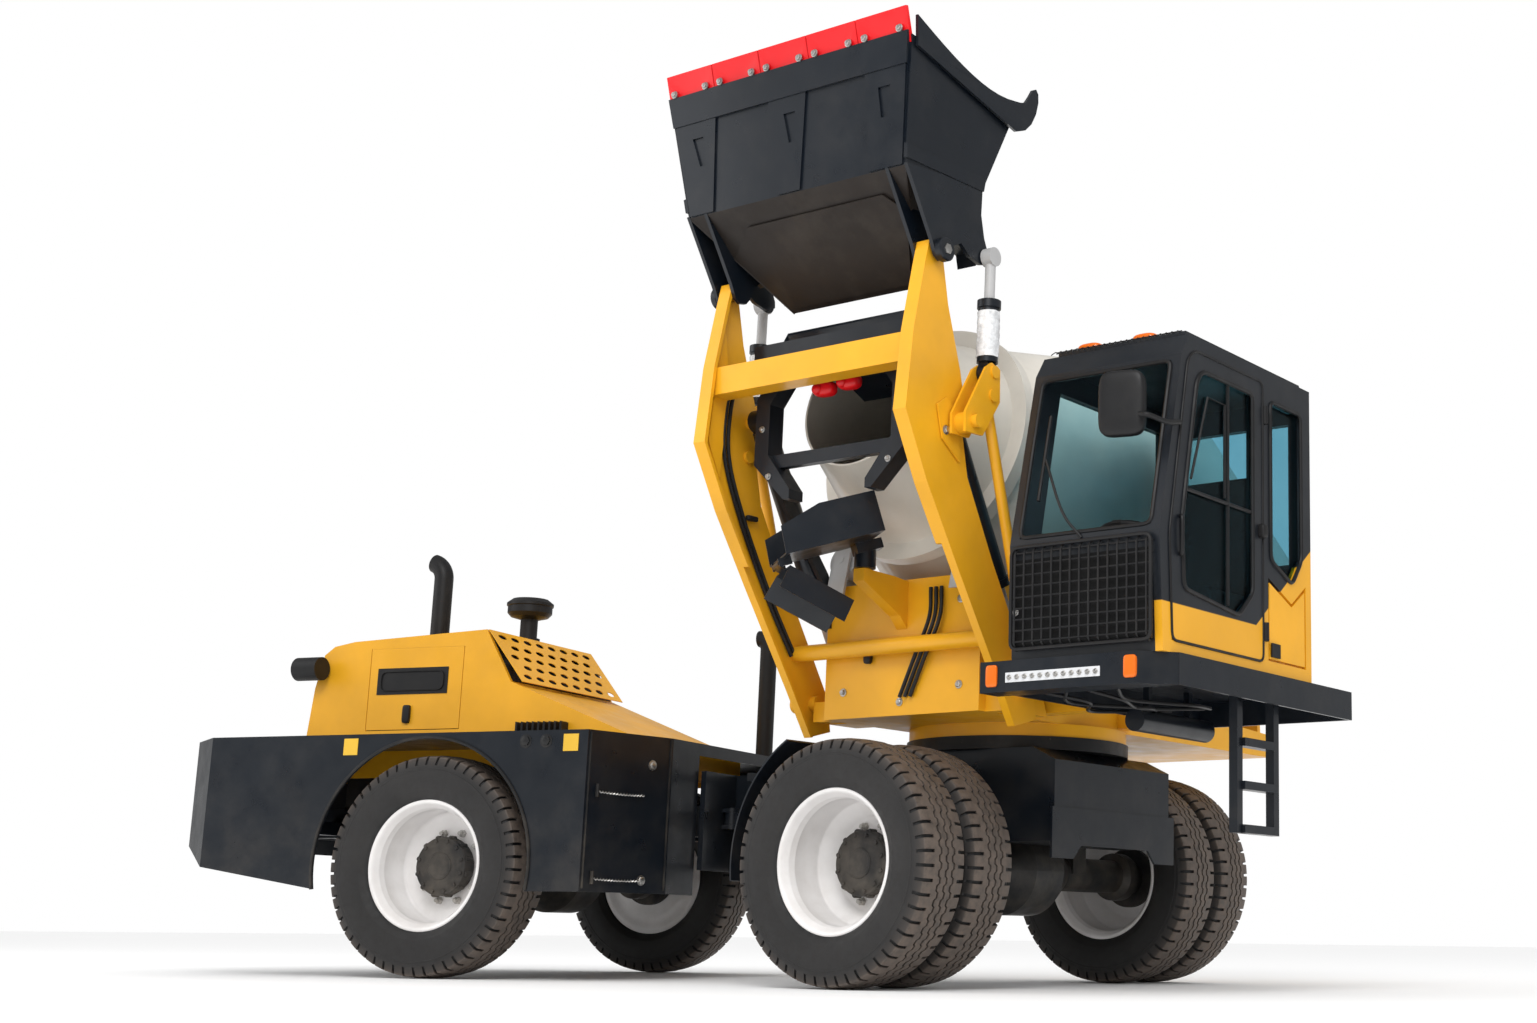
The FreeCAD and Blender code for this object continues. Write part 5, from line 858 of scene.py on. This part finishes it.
def arms():
    """Gussets on the arms, hoses along them, and film round the tilt cylinders."""
    yellow_bits, hoses, clips, wraps, bolts = [], [], [], [], []
    for way in (-1, 1):
        inner = way * 0.562
        for loop in (((1.495, 2.575), (1.58, 2.575), (1.60, 2.36), (1.52, 2.20)),
                     ((1.505, 2.685), (1.585, 2.685), (1.575, 2.80), (1.54, 2.90))):
            shape = up([(x, inner, z) for x, z in loop])
            yellow_bits.append(sheet(shape, 0.008))
        outer = way * 0.604
        rib = [(1.30, 2.18), (1.42, 2.26), (1.46, 2.40), (1.40, 2.44), (1.31, 2.38)]
        yellow_bits.append(sheet(up([(x, outer, z) for x, z in rib]), 0.008))
        run = [(1.55, way * 0.585, 2.30), (1.44, way * 0.585, 2.05), (1.24, way * 0.585, 1.72),
               (1.06, way * 0.585, 1.47)]
        for gap in (0.0, 0.028):
            path = [(x - 0.06 - gap, way * 0.566, z) for x, y, z in run]
            high = [(1.46 - gap, way * 0.566, 2.72), (1.50 - gap, way * 0.566, 2.50)]
            hoses.append(tube(up(bend(high + path)), 0.009, 10))
        for x, z in ((1.36, 2.04), (1.16, 1.71)):
            clips.append(small_pod(up, (x - 0.06, way * 0.566, z + 0.02), (0.035, 0.012, 0.012)))
        bolts += nuts(up([(1.40, outer + way * 0.006, 2.30), (1.34, outer + way * 0.006, 2.34)]),
                      (way, 0, 0), 0.016)
    mesh_piece("arm_gussets", yellow_bits, "loader_arms", yellow_paint)
    mesh_piece("arm_hoses", hoses + clips, "loader_arms", black_plastic)
    mesh_piece("arm_bolts", bolts, "loader_arms", zinc)
    foot, eye = np.array([1.198, 2.585]), np.array([1.190, 3.110])
    along = (eye - foot) / np.linalg.norm(eye - foot)
    for way in (-1, 1):
        stations = np.linspace(0.07, 0.275, 26)
        spin = np.linspace(0, 2 * np.pi, 36, endpoint=False)
        angle, place = spin[None, :], stations[:, None]
        swell = 0.0485 + 0.0022 * np.sin(6 * angle + 60 * place) * np.cos(3 * angle - 95 * place)
        x = foot[0] + along[0] * stations[:, None] + swell * np.cos(spin)[None, :]
        z = foot[1] + along[1] * stations[:, None] + 0 * swell
        y = way * 0.665 + swell * np.sin(spin)[None, :]
        core = np.stack([foot[0] + along[0] * stations[:, None] + 0 * swell, way * 0.665 + 0 * swell, z], -1)
        outer_wall = np.stack([x, y, z], -1)
        inner_wall = core + (outer_wall - core) * (0.0464 / swell)[..., None]
        rings = np.concatenate([outer_wall, inner_wall[::-1]])
        wraps.append((up(rings.reshape(-1, 3)), quads(len(rings), 36, True, True)))
    mesh_piece("tilt_film", wraps, "tilt_barrels", film_wrap("stretch_film"))


arms()

# --- Hopper frame, hydraulics and chutes ----------------------------------------------------
# A folded plate portal carries the hopper and two red swing motors; below it hang the drum's
# discharge chute and its folding extension, edged with a rolled bead.


def portal_and_chutes():
    """Red hydraulic motors on the portal, bolts on its plates, and hoses down the front plate."""
    motors, ports, lines = [], [], []
    for y, z in ((-0.07, 2.572), (0.07, 2.585)):
        motors.append(pod((1.40, y, z), (0.035, 0.056, 0.034), 0.1, 3.0))
        motors.append(pod((1.43, y - 0.02, z - 0.004), (0.022, 0.026, 0.026), 0.0, 2.0))
    for y in (0.17, 0.20, 0.23):
        route = [(0.915, y, 1.74), (0.935, y + 0.01, 1.60), (0.925, y - 0.08, 1.42), (0.915, y - 0.16, 1.26)]
        lines.append(tube(up(bend(route)), 0.009, 10))
    for y, z in ((-0.33, 1.30), (0.33, 1.30), (-0.33, 1.68), (0.33, 1.68), (0.0, 1.24)):
        ports += nuts(up([(0.902, y, z)]), (0, -1, 0), 0.014)
    for way in (-1, 1):
        for y, z in ((0.34, 2.20), (0.39, 2.42), (0.32, 2.64)):
            ports += nuts(up([(1.446, way * y, z)]), (0, -1, 0), 0.011)
    for y0, bow in ((0.95, 0.10), (1.05, -0.08), (1.16, 0.06), (1.30, -0.05)):
        route = [(1.12, y0, 1.205), (0.95, y0 + bow, 1.178), (0.62, y0 - bow, 1.182), (0.30, y0 + bow, 1.205)]
        lines.append(tube(up(bend(route)), 0.008, 8))
    lines.append(pod((0.915, -0.18, 1.47), (0.014, 0.02, 0.05), 0.0, 5.0))
    mesh_piece("swing_motors", motors, "upper", red)
    mesh_piece("frame_bolts", ports, "upper", zinc)
    mesh_piece("frame_hoses", lines, "upper", black_plastic)


portal_and_chutes()

# --- Operator's seat --------------------------------------------------------------------------
# A sprung cab seat in dark woven cloth: a pan cushion and a back cushion, each blown up and
# settled as cloth, over the plastic shells of the CAD seat.

CLOTH_VOXEL = 0.009
CLOTH_TRAVEL = 0.018


def cushion(name, low, high):
    """A box of cloth voxel-remeshed at 9 mm and blown up by the cloth solver, capped in its travel."""
    lo, hi = up(np.array([low, high]))
    near, far = np.minimum(lo, hi), np.maximum(lo, hi)
    x, y, z = np.meshgrid((near[0], far[0]), (near[1], far[1]), (near[2], far[2]), indexing="ij")
    corner = np.stack([x, y, z], -1).reshape(-1, 3)
    sides = [(0, 1, 3, 2), (4, 6, 7, 5), (0, 4, 5, 1), (2, 3, 7, 6), (0, 2, 6, 4), (1, 5, 7, 3)]
    piece = mesh_piece(name, [(corner, sides)], "upper", seat_cloth, 60)
    bpy.context.view_layer.objects.active = piece
    bevel = piece.modifiers.new("round", "BEVEL")
    bevel.width = 0.03
    bevel.segments = 4
    bpy.ops.object.modifier_apply(modifier="round")
    grid = piece.modifiers.new("grid", "REMESH")
    grid.mode = "VOXEL"
    grid.voxel_size = CLOTH_VOXEL
    bpy.ops.object.modifier_apply(modifier="grid")
    rest = np.empty(len(piece.data.vertices) * 3)
    piece.data.vertices.foreach_get("co", rest)
    rest = rest.reshape(-1, 3)
    cloth = piece.modifiers.new("cloth", "CLOTH")
    cloth.settings.use_pressure = True
    cloth.settings.uniform_pressure_force = 4.0
    cloth.settings.effector_weights.gravity = 0.0
    scene = bpy.context.scene
    for step in range(1, 21):
        scene.frame_set(step)
    held = piece.evaluated_get(bpy.context.evaluated_depsgraph_get())
    moved = np.empty(len(held.data.vertices) * 3)
    held.data.vertices.foreach_get("co", moved)
    travel = moved.reshape(-1, 3) - rest
    far_gone = np.linalg.norm(travel, axis=1, keepdims=True)
    travel *= np.minimum(1.0, CLOTH_TRAVEL / np.maximum(far_gone, 1e-9))
    piece.modifiers.remove(cloth)
    piece.data.vertices.foreach_set("co", (rest + travel).ravel())
    piece.data.update()
    scene.frame_set(1)
    return piece


seat_cloth = sprayed("seat_cloth", (0.02, 0.02, 0.022), gloss=0.8, coat=0.0)
pan = cushion("seat_pan", (0.185, 1.015, 1.585), (0.625, 1.445, 1.680))
rest = cushion("seat_rest", (0.122, 1.025, 1.70), (0.208, 1.435, 2.255))
shells = [slab((0.20, 1.08, 1.362), (0.52, 1.38, 1.572)), slab((0.112, 1.02, 1.60), (0.120, 1.44, 2.262))]
seat_shell = mesh_piece("seat_shell", shells, "upper", black_plastic)
for part in (seat_shell, pan, rest):
    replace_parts(part, "operator_seat")

# --- Glass and the finishes of the other pieces ---------------------------------------
# Tinted cab glass, and each piece that keeps its own shape sprayed, cast or moulded in the
# finish of its slot.


def tinted(name):
    """Tinted cab glass."""
    material, tree, shader, place = blank(name)
    tint = mixed(tree, span(tree, noise(tree, place, 3.0), 0.3, 0.7), (0.30, 0.55, 0.64), (0.36, 0.60, 0.68))
    wire(tree, tint, shader.inputs["Base Color"])
    wire(tree, span(tree, noise(tree, place, 30.0), 0.3, 0.7, 0.0, 0.03), shader.inputs["Roughness"])
    shader.inputs["Transmission Weight"].default_value = 1.0
    shader.inputs["IOR"].default_value = 1.1
    return material


FINISH = {
    "yellow_paint": yellow_paint,
    "navy_paint": navy,
    "cab_grey": sprayed("cab_grey", (0.008, 0.010, 0.014), gloss=0.35, dust=0.03, coat=0.1),
    "white_paint": sprayed("white_paint", (0.76, 0.72, 0.64), dust=0.12),
    "red_paint": red,
    "bare_steel": sprayed("bare_steel", (0.45, 0.45, 0.45)),
    "cast_metal": frame_black,
    "tyre_rubber": tyre_rubber,
    "window_glass": tinted("window_glass"),
    "seat_cloth": seat_cloth,
    "black_plastic": black_plastic,
}
DONE = ("cab_shell", "cab_door")
for piece in frame["record"]["subparts"]:
    if piece["node"] not in DONE:
        repaint(FINISH[piece["material_slot"]], piece["node"])

# --- Floor, light and camera ----------------------------------------------------------
# A pale floor under soft lamps, a white backdrop, and a long lens low down at the side
# of the near front wheels.


def studio():
    """The floor keeps the shadow, the lamps light at a plain level, and the camera looks up."""
    scene = bpy.context.scene
    floor_mesh = bpy.data.meshes.new("floor")
    floor_mesh.from_pydata([(-60, -60, 0), (60, -60, 0), (60, 60, 0), (-60, 60, 0)], [], [(0, 1, 2, 3)])
    floor = bpy.data.objects.new("floor", floor_mesh)
    scene.collection.objects.link(floor)
    material, _, shader, _ = blank("floor")
    shader.inputs["Base Color"].default_value = (0.9, 0.9, 0.9, 1)
    shader.inputs["Roughness"].default_value = 0.9
    floor_mesh.materials.append(material)
    world = bpy.data.worlds.new("studio")
    scene.world = world
    world.use_nodes = True
    sky = world.node_tree
    paths = sky.nodes.new("ShaderNodeLightPath")
    seen = sky.nodes.new("ShaderNodeMath")
    seen.operation = "MAXIMUM"
    wire(sky, paths.outputs["Is Camera Ray"], seen.inputs[0])
    wire(sky, paths.outputs["Is Transmission Ray"], seen.inputs[1])
    backdrop = sky.nodes["Background"]
    backdrop.inputs["Color"].default_value = (1, 1, 1, 1)
    lit = span(sky, paths.outputs["Is Glossy Ray"], 0.0, 1.0, 1.08, 0.38)
    level = sky.nodes.new("ShaderNodeMath")
    level.operation = "MULTIPLY_ADD"
    wire(sky, seen.outputs[0], level.inputs[0])
    gap = sky.nodes.new("ShaderNodeMath")
    gap.operation = "SUBTRACT"
    gap.inputs[0].default_value = 1.0
    wire(sky, lit, gap.inputs[1])
    wire(sky, gap.outputs[0], level.inputs[1])
    wire(sky, lit, level.inputs[2])
    wire(sky, level.outputs[0], backdrop.inputs["Strength"])
    for name, energy, size, spot in (
        ("key", 620.0, 5.0, (6.0, -9.0, 9.0)),
        ("fill", 200.0, 7.0, (-8.0, -7.0, 6.0)),
    ):
        lamp = bpy.data.lights.new(name, "AREA")
        lamp.energy = energy
        lamp.size = size
        light = bpy.data.objects.new(name, lamp)
        light.location = spot
        light.rotation_euler = (Vector((0, 0, 1.5)) - Vector(spot)).to_track_quat("-Z", "Y").to_euler()
        scene.collection.objects.link(light)
    lens = bpy.data.cameras.new("camera")
    lens.lens = 46.98
    lens.sensor_width = 36.0
    lens.shift_x = -0.2296
    lens.clip_end = 500.0
    camera = bpy.data.objects.new("camera", lens)
    turn = (Matrix.Rotation(np.radians(33.1495), 4, "Z") @ Matrix.Rotation(np.radians(101.9528), 4, "X")
            @ Matrix.Rotation(np.radians(0.6224), 4, "Z"))
    slew_at = pin["slew"]["pos_m"]
    camera.matrix_world = Matrix.Translation((slew_at[0] + 5.690, slew_at[1] - 7.824, 0.2311)) @ turn
    scene.collection.objects.link(camera)
    scene.camera = camera
    scene.view_settings.view_transform = "Standard"


studio()
